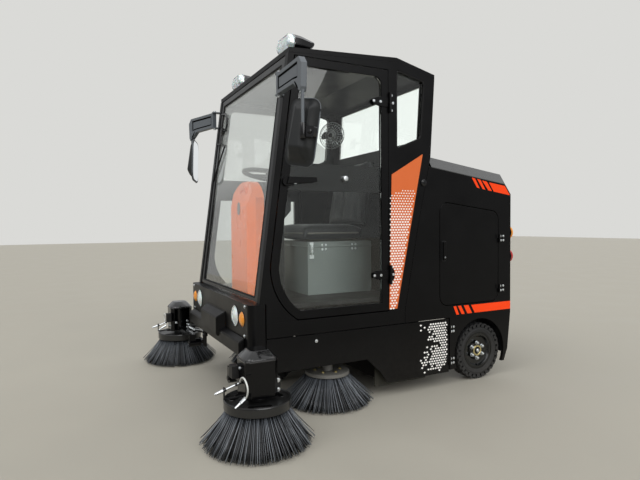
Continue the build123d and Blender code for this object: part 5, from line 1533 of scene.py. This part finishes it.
@dataclass
class RoofLights:
    """Two work lights: a black wedge-shaped housing and a clear eight-sided front over bright facets."""

    x: float = 416.0
    front: float = 279.0
    brow: float = 314.0
    middle: float = 2000.0

    def build(self) -> None:
        """Replace the plain solids of both lights."""
        housing, lens, bowl, rim = (Solid() for _ in range(4))
        for side in (1, -1):
            x = self.x * side
            self.shell(housing, [self.ring(x, self.brow, 90, 1957, 2043, 26),
                                 self.ring(x, 360, 88, 1957, 2039, 24),
                                 self.ring(x, 412, 82, 1958, 2026, 20), self.ring(x, 442, 72, 1994, 2016, 8)])
            housing.box((x - 44, x + 44), (self.brow + 4, self.brow + 60), (1938, 1962))
            self.shell(lens, [self.ring(x, self.front, 84, 1963, 2037, 26),
                              self.ring(x, self.front + 5, 88, 1959, 2041, 26),
                              self.ring(x, self.brow - 1, 89, 1958, 2042, 26)])
            self.shell(bowl, [self.ring(x, self.front + 9, 80, 1967, 2033, 24),
                              self.ring(x, self.brow - 2, 87, 1960, 2040, 25)])
            for shift in (-54, 0, 54):
                bowl.lathe([(0, 0), (23, 0), (21, 5), (14, 3), (9, 6), (0, 8)],
                           Facing.FRONT.at(x + shift, self.front + 9.5, self.middle), 12)
            rim.tube(self.ring(x, self.brow, 91, 1956, 2044, 26), 2.2, 6, True)
        housing.bevel(2.0, 2).piece("roof_light_housings", GLOSS_BLACK, "root", "black_plastic",
                                    ("roof_lights",))
        lens.piece("roof_light_lenses", LENS_COVER, "root", "clear_lens", smooth=20)
        bowl.piece("roof_light_reflectors", REFLECTOR, "root", "clear_lens", smooth=8)
        rim.piece("roof_light_rims", ZINC, "root", "clear_lens")

    def ring(self, x: float, y: float, half: float, low: float, top: float, cut: float) -> list[Point]:
        """An eight-sided section at a distance from the front.

        Args:
            x: The light's middle.
            y: The section's place.
            half: Half its width.
            low: Its lowest z.
            top: Its highest z.
            cut: How far its corners are cut off.

        Returns:
            Its eight points.
        """
        tall = min(cut, (top - low) / 2.2)
        flat = [(-half + cut, low), (half - cut, low), (half, low + tall), (half, top - tall),
                (half - cut, top), (-half + cut, top), (-half, top - tall), (-half, low + tall)]
        return [(x + across, y, up) for across, up in flat]

    def shell(self, solid: Solid, rings: list[list[Point]]) -> None:
        """Join eight-sided rings into a closed form.

        Args:
            solid: The mesh that it joins.
            rings: The rings in order.
        """
        points = [p for ring in rings for p in ring]
        faces: list[list[int]] = [list(range(8)), list(range(len(points) - 8, len(points)))]
        for index in range(len(rings) - 1):
            a, b = 8 * index, 8 * index + 8
            faces += [[a + s, a + (s + 1) % 8, b + (s + 1) % 8, b + s] for s in range(8)]
        solid.add(points, faces)


@dataclass
class Wiper:
    """The windscreen wiper, parked along the far post."""

    post_side: tuple[Point, ...] = ((-560, 218, 1800), (-470, 220, 1786), (-408, 214, 1742),
                                    (-398, 207, 1700), (-404, 200, 1650))

    def build(self) -> None:
        """Make the arm and the blade a little ahead of the glass."""
        arm = Solid()
        arm.tube(self.post_side, 7, 8)
        arm.tube([(-494, 199, 1660), (-484, 193, 1612), (-474, 187, 1574)], 6, 8)
        arm.tube([(-560, 189, 1584), (-474, 187, 1576), (-376, 183, 1548)], 5, 8)
        arm.lathe([(0, -2), (22, -2), (22, 14), (14, 20), (0, 20)], Facing.FRONT.at(-470, 206, 1664), 24)
        arm.piece("wiper_arm", GLOSS_BLACK, "root", "black_plastic")
        blade = Solid()
        blade.tube([(-376, 184, 1548), (-470, 168, 1433), (-563, 152, 1319)], 6, 6)
        blade.piece("wiper_blade", EPDM, "root", "rubber")


@dataclass(frozen=True)
class MirrorHead:
    """Where one mirror hangs: millimetres and degrees."""

    side: Side
    rise: float          # how much higher its arm sits than the left one's
    swing: float         # turn of the arm on its pivot
    middle: Point        # middle of the glass, as on the left side
    yaw: float
    lean: float


@dataclass
class MirrorSet:
    """The mirrors' shells with their stalk channel, glass, clamps and bolts."""

    heads: tuple[MirrorHead, ...] = (
        MirrorHead(Side.LEFT, 0.0, -2.5, (860.0, 190.0, 1436.0), 27.0, 10.0),
        MirrorHead(Side.RIGHT, 38.0, -17.5, (860.0, 100.0, 1493.0), 27.0, 7.0))
    wide: float = 172.0                # the shell's outline
    tall: float = 312.0
    corner: float = 42.0
    pivot: Flat = (600.0, 178.0)
    stalk_at: float = 310.0

    def build(self) -> None:
        """Make the parts of both mirrors."""
        shells, glass, rims, clamps, bolts, shade = (Solid() for _ in range(6))
        for head in self.heads:
            flip = head.side.frame
            place = (flip @ Matrix.Translation(head.middle) @ Matrix.Rotation(math.radians(head.yaw), 4, "Z")
                     @ Matrix.Rotation(math.radians(head.lean), 4, "Y"))
            turn = math.radians(head.swing)
            stalk = Vector((self.pivot[0] + self.stalk_at * math.cos(turn),
                            self.pivot[1] + self.stalk_at * math.sin(turn), head.middle[2]))
            local = place.inverted() @ flip @ stalk
            self.shell(shells, place, local.x, head.lean)
            edge = rounded([(-86, -156), (86, -156), (86, 156), (-86, 156)], 56, 8)
            glass.prism([(a * 0.9, b * 0.94) for a, b in edge], 0.3, 1.8, place @ Facing.REAR.at())
            rims.tube([place @ Vector((a, -4, b)) for a, b in edge], 3.6, 8, True)
            clamps.lathe([(0, -36), (13, -36), (15, -30), (15, 30), (13, 36), (0, 36)],
                         flip @ Matrix.Translation(stalk), 28)
            boss = place @ Facing.FRONT.at(local.x + 40, -34, 6)
            clamps.prism(rounded([(-26, -26), (24, -26), (24, 24), (-26, 24)], 10), -14, 12, boss)
            clamps.lathe([(0, 12), (12, 12), (12, 15), (8, 20), (0, 21)], boss, 20)
            for height, out in ((1783, 1), (1665, -1)):
                bolts.bolt((self.pivot[0] * head.side.value, self.pivot[1], height + head.rise),
                           (0, 0, out), 9, 9)
            self.arm_shadows(shade, flip @ Matrix.Translation((self.pivot[0], self.pivot[1], head.rise))
                             @ Matrix.Rotation(turn, 4, "Z"))
        shells.piece("mirror_shells", SHELL_GREY, "root", "black_plastic", ("mirror_heads",), 30)
        glass.piece("mirror_glasses", MIRROR_SILVER, "root", "black_plastic")
        # The lip round each glass is a real bead; its light grey, lighter than the shell, is painted
        # highlight along the edge.
        rims.piece("mirror_rims", ARM_GREY, "root", "black_plastic")
        clamps.piece("mirror_clamps", GLOSS_BLACK, "root", "black_plastic")
        bolts.piece("mirror_bolts", ZINC, "root", "frame_paint")
        shade.piece("mirror_arm_recess_edges", DARK_SLOT, "root", "black_plastic")

    def spot(self, u: float, v: float) -> tuple[float, float, float]:
        """A point of the rounded outline's field, and its distance from the edge.

        Args:
            u: Share across, from -1 to 1.
            v: Share up, from -1 to 1.

        Returns:
            The place across, the place up and the distance from the edge.
        """
        half_a, half_b, radius = self.wide / 2, self.tall / 2, self.corner
        a, b = u * half_a, v * half_b
        over_a, over_b = abs(a) - (half_a - radius), abs(b) - (half_b - radius)
        if over_a > 0 and over_b > 0:
            reach = max(over_a, over_b)
            share = reach / math.hypot(over_a, over_b)
            return (math.copysign(half_a - radius + over_a * share, a),
                    math.copysign(half_b - radius + over_b * share, b), radius - reach)
        return a, b, min(half_a - abs(a), half_b - abs(b))

    def shell(self, solid: Solid, place: Matrix, groove: float, lean: float) -> None:
        """A crowned shell with a rim, and a channel that the stalk passes in.

        Args:
            solid: The mesh that both shells are in.
            place: The mirror's own frame, with its glass across x and z.
            groove: Where the stalk crosses the mirror's middle.
            lean: The mirror's lean in degrees.
        """
        steps_a, steps_b = 30, 46
        points: list[Point] = []
        for j in range(steps_b + 1):
            for i in range(steps_a + 1):
                a, b, edge = self.spot(2 * i / steps_a - 1, 2 * j / steps_b - 1)
                crown = 54 - 40 * (-70 - b) / 86 if b < -70 else 54 - 28 * (b + 70) / 226
                rise = min(1.0, max(0.0, (edge - 5) / 46))
                rise = rise * rise * (3 - 2 * rise)
                middle = groove - b * math.tan(math.radians(lean))
                channel = 11 * math.exp(-((a - middle) / 13) ** 2) * rise * (b > -128)
                points.append((a, -(9 + (crown - 9) * rise - channel), b))
        back = len(points)
        points += [(a, 0.0, b) for a, _, b in points]
        span = steps_a + 1
        faces: list[list[int]] = []
        for j in range(steps_b):
            for i in range(steps_a):
                first = j * span + i
                faces.append([first, first + 1, first + span + 1, first + span])
                faces.append([back + first, back + first + span, back + first + span + 1, back + first + 1])
        rim = list(range(span)) + [j * span + steps_a for j in range(1, steps_b + 1)]
        rim += [steps_b * span + i for i in range(steps_a - 1, -1, -1)]
        rim += [j * span for j in range(steps_b - 1, 0, -1)]
        faces += [[a, b, b + back, a + back] for a, b in zip(rim, rim[1:] + rim[:1])]
        solid.add(points, faces, place)

    def arm_shadows(self, solid: Solid, place: Matrix) -> None:
        """Painted shade: dark strips along the edges of the recess in the arm's face, and in the slot beside
        it.

        Args:
            solid: The mesh that they join.
            place: The arm's frame, turned on its pivot.
        """
        front = place @ Facing.FRONT.at(0, -11.2, 0)
        edge = [(20, 1758), (284, 1758), (284, 1682), (225, 1688), (20, 1690)]
        inner = [(30, 1748), (274, 1748), (274, 1693), (226, 1698), (30, 1700)]
        for i in range(5):
            j = (i + 1) % 5
            solid.prism([edge[i], edge[j], inner[j], inner[i]], -1, 0.6, front)
        solid.prism([(244, 1676), (258, 1670), (280, 1650), (292, 1634), (284, 1630), (262, 1652)], -1, 0.6,
                    place @ Facing.FRONT.at(0, -15.2, 0))


@dataclass
class CabInterior:
    """The seat, its box and the fittings inside the cab."""

    def build(self) -> None:
        """Make the interior's pieces."""
        self.seat()
        self.seat_box()
        self.column()
        self.fan()

    def cushion(self, name: str, size: Point, place: Matrix, finish: Finish,
                channels: int) -> bpy.types.Object:
        """A crowned pad with sewn channels, whose sides pull in between its corners.

        Args:
            name: The piece's name.
            size: Width, depth and height in millimetres.
            place: Where its middle lies.
            finish: Its cover.
            channels: Number of sewn channels across it.

        Returns:
            The pad.
        """
        wide, deep, tall = (s / 2 for s in size)
        steps = 26
        solid = Solid()
        points: list[Point] = []
        faces: list[list[int]] = []
        for layer in (1, -1):
            for i in range(steps + 1):
                for j in range(steps + 1):
                    u, v = 2 * i / steps - 1, 2 * j / steps - 1
                    pull_u = 1 - 0.035 * (1 - v * v)
                    pull_v = 1 - 0.035 * (1 - u * u)
                    dome = ((1 - u ** 6) * (1 - v ** 6)) ** 0.5
                    height = -tall * (0.55 + 0.45 * dome)
                    if layer > 0:
                        phase = (u + 1) / 2 * channels
                        inside = abs(u) < 0.92 and abs(v) < 0.9
                        groove = 7.0 * math.exp(-((phase - round(phase)) / 0.06) ** 2) * inside
                        height = tall * (0.35 + 0.65 * dome) - groove
                    points.append((u * wide * pull_u, v * deep * pull_v, height))
        span = steps + 1
        half_count = span * span
        for i in range(steps):
            for j in range(steps):
                a = i * span + j
                faces.append([a, a + span, a + span + 1, a + 1])
                b = half_count + a
                faces.append([b, b + 1, b + span + 1, b + span])
        rim = list(range(span)) + [i * span + steps for i in range(1, span)]
        rim += [steps * span + j for j in range(steps - 1, -1, -1)]
        rim += [i * span for i in range(steps - 1, 0, -1)]
        for a, b in zip(rim, rim[1:] + rim[:1]):
            faces.append([a, b, b + half_count, a + half_count])
        solid.add(points, faces, place)
        return solid.piece(name, finish, "root", "vinyl", smooth=70)

    def seat(self) -> None:
        """The cushion and the backrest, with piping round them."""
        base = self.cushion("seat_cushion", (452, 408, 104), Matrix.Translation((0, 700, 957)), SEAT_VINYL, 4)
        lean = Matrix.Translation((0, 955, 1210)) @ Matrix.Rotation(math.radians(-10), 4, "X")
        turn = lean @ Matrix.Rotation(math.pi / 2, 4, "X")
        back = self.cushion("seat_back", (424, 412, 86), turn, SEAT_VINYL, 4)
        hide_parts("seat")
        piping = Solid()
        edge = rounded([(-224, 498), (224, 498), (224, 902), (-224, 902)], 40, 6)
        piping.tube([(x, y, 950) for x, y in edge], 5, 8, True)
        piping.piece("seat_piping", SEAT_PIPING, "root", "vinyl")

    def seat_box(self) -> None:
        """The lid's edge, toggle latches and hinges on the box under the seat."""
        lid = Solid().box((-304, 304), (476, 934), (866, 874)).bevel(1.5, 1)
        lid.piece("seat_box_lid_edge", GREY_ENAMEL, "root", "grey_paint")
        metal = Solid()
        for side in (1, -1):
            x = 300.5 * side
            metal.box(tuple(sorted((x, x + 5 * side))), (492, 516), (882, 898))
            metal.box(tuple(sorted((x, x + 9 * side))), (496, 512), (836, 884))
            metal.rod((x + 9 * side, 504, 884), (x + 9 * side, 504, 812), 3.5)
            metal.box(tuple(sorted((x, x + 7 * side))), (490, 518), (800, 822))
            for y in (590, 800):
                for dy in (-12, 12):
                    for z in (880, 854):
                        metal.bolt((x, y + dy, z), (side, 0, 0), 5, 4)
        metal.bevel(1.0, 1).piece("seat_box_latches", ZINC, "root", "grey_paint")

    def column(self) -> None:
        """The cover's plain oval badge and its arched notch."""
        notch = Solid()
        edge = arc((0, 1186), 62, 20, 160, 12) + arc((0, 1176), 46, 152, 28, 10)
        notch.prism(edge, -6, 0.6, Facing.FRONT.at(20, 176, 0))
        notch.piece("column_notch", COVER_ORANGE, "root", "orange_cover")
        badge = Solid()
        oval = [(x * 26, 1106 + z * 40) for x, z in arc((0, 0), 1, 0, 350, 35)]
        badge.prism(oval, 0, 3, Facing.FRONT.at(8, 155.2, 0)).bevel(1.0, 1)
        badge.piece("column_badge", BADGE_GREY, "root", "orange_cover")

    def fan(self) -> None:
        """The small cab fan behind the driver: a wire guard, blades and a motor."""
        frame = (Matrix.Translation((-310, 985, 1665)) @ Matrix.Rotation(math.radians(38), 4, "Z")
                 @ Facing.FRONT.at())
        cage = Solid()
        for radius, depth in ((98, 0), (96, 8), (80, 18), (60, 24), (40, 27), (20, 28)):
            ring = [frame @ Vector((radius * math.cos(a), radius * math.sin(a), depth))
                    for a in (2 * math.pi * i / 36 for i in range(36))]
            cage.tube(ring, 2.6 if depth < 10 else 1.5, 5, True)
        for index in range(28):
            angle = 2 * math.pi * index / 28
            cage.tube([frame @ Vector((r * math.cos(angle), r * math.sin(angle), d))
                       for r, d in ((97, 4), (80, 18), (50, 26), (16, 28))], 1.3, 5)
        cage.piece("cab_fan_guard", ZINC, "root", "black_plastic")
        blades = Solid()
        blades.lathe([(0, 16), (18, 14), (22, -10), (30, -14), (30, -58), (22, -66), (0, -66)], frame, 24)
        for index in range(4):
            spin = (frame @ Matrix.Rotation(math.pi * index / 2, 4, "Z")
                    @ Matrix.Rotation(math.radians(24), 4, "X"))
            blades.prism(rounded([(12, -18), (70, -44), (88, -8), (82, 26), (30, 22)], 16), -1.2, 1.2, spin)
        blades.rod(frame @ Vector((0, 0, -50)), (-430, 1075, 1650), 9)
        blades.box((-470, -410), (1070, 1082), (1610, 1690))
        blades.piece("cab_fan_blades", MOULDED_BLACK, "root", "black_plastic")


def write_sizes() -> None:
    """Make a helper that turns a box's two corners into rounded numbers; nothing is kept or written.
    """
    def plain(box: Any) -> list[list[float]]:
        """A box's two corners as rounded numbers."""
        return [[round(float(v), 5) for v in corner] for corner in box]


def main() -> None:
    """Load the frame and dress it, one sub-assembly after another."""
    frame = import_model()
    bpy.context.scene.view_settings.view_transform = "Standard"
    Studio().build()
    CarriedNodes().build(frame)
    for side in Side:
        tail, sign = side.tail, side.value
        BristleSkirt(f"front_strands_{tail}", f"front_brush_{tail}", f"front_bristles_{tail}",
                     (FRONT_BRUSH[0] * sign, FRONT_BRUSH[1]), 143.0, 167.0, 11 + sign).build()
        BristleSkirt(f"mid_strands_{tail}", f"mid_brush_{tail}", f"mid_bristles_{tail}",
                     (MID_BRUSH[0] * sign, MID_BRUSH[1]), 120.0, 160.0, 21 + sign, bolted=True).build()
        FrontBrushGear(side).build()
        RoadWheel(f"rear_wheel_{tail}", f"rear_tyre_{tail}", f"rear_wheel_{tail}",
                  (REAR_WHEEL[0] * sign, *REAR_WHEEL[1:]), 96.0, sign).build()
    RoadWheel("front_wheel", "front_tyre", "front_wheel", FRONT_WHEEL, 90.0, 1).build()
    MainBrush().build()
    WheelArches().build()
    SideFilms().build()
    PanelFittings().build()
    FrontLamps().build()
    RoofLights().build()
    Wiper().build()
    MirrorSet().build()
    CabInterior().build()
    write_sizes()


if __name__ == "__main__":
    logging.basicConfig(level=logging.INFO)
    main()
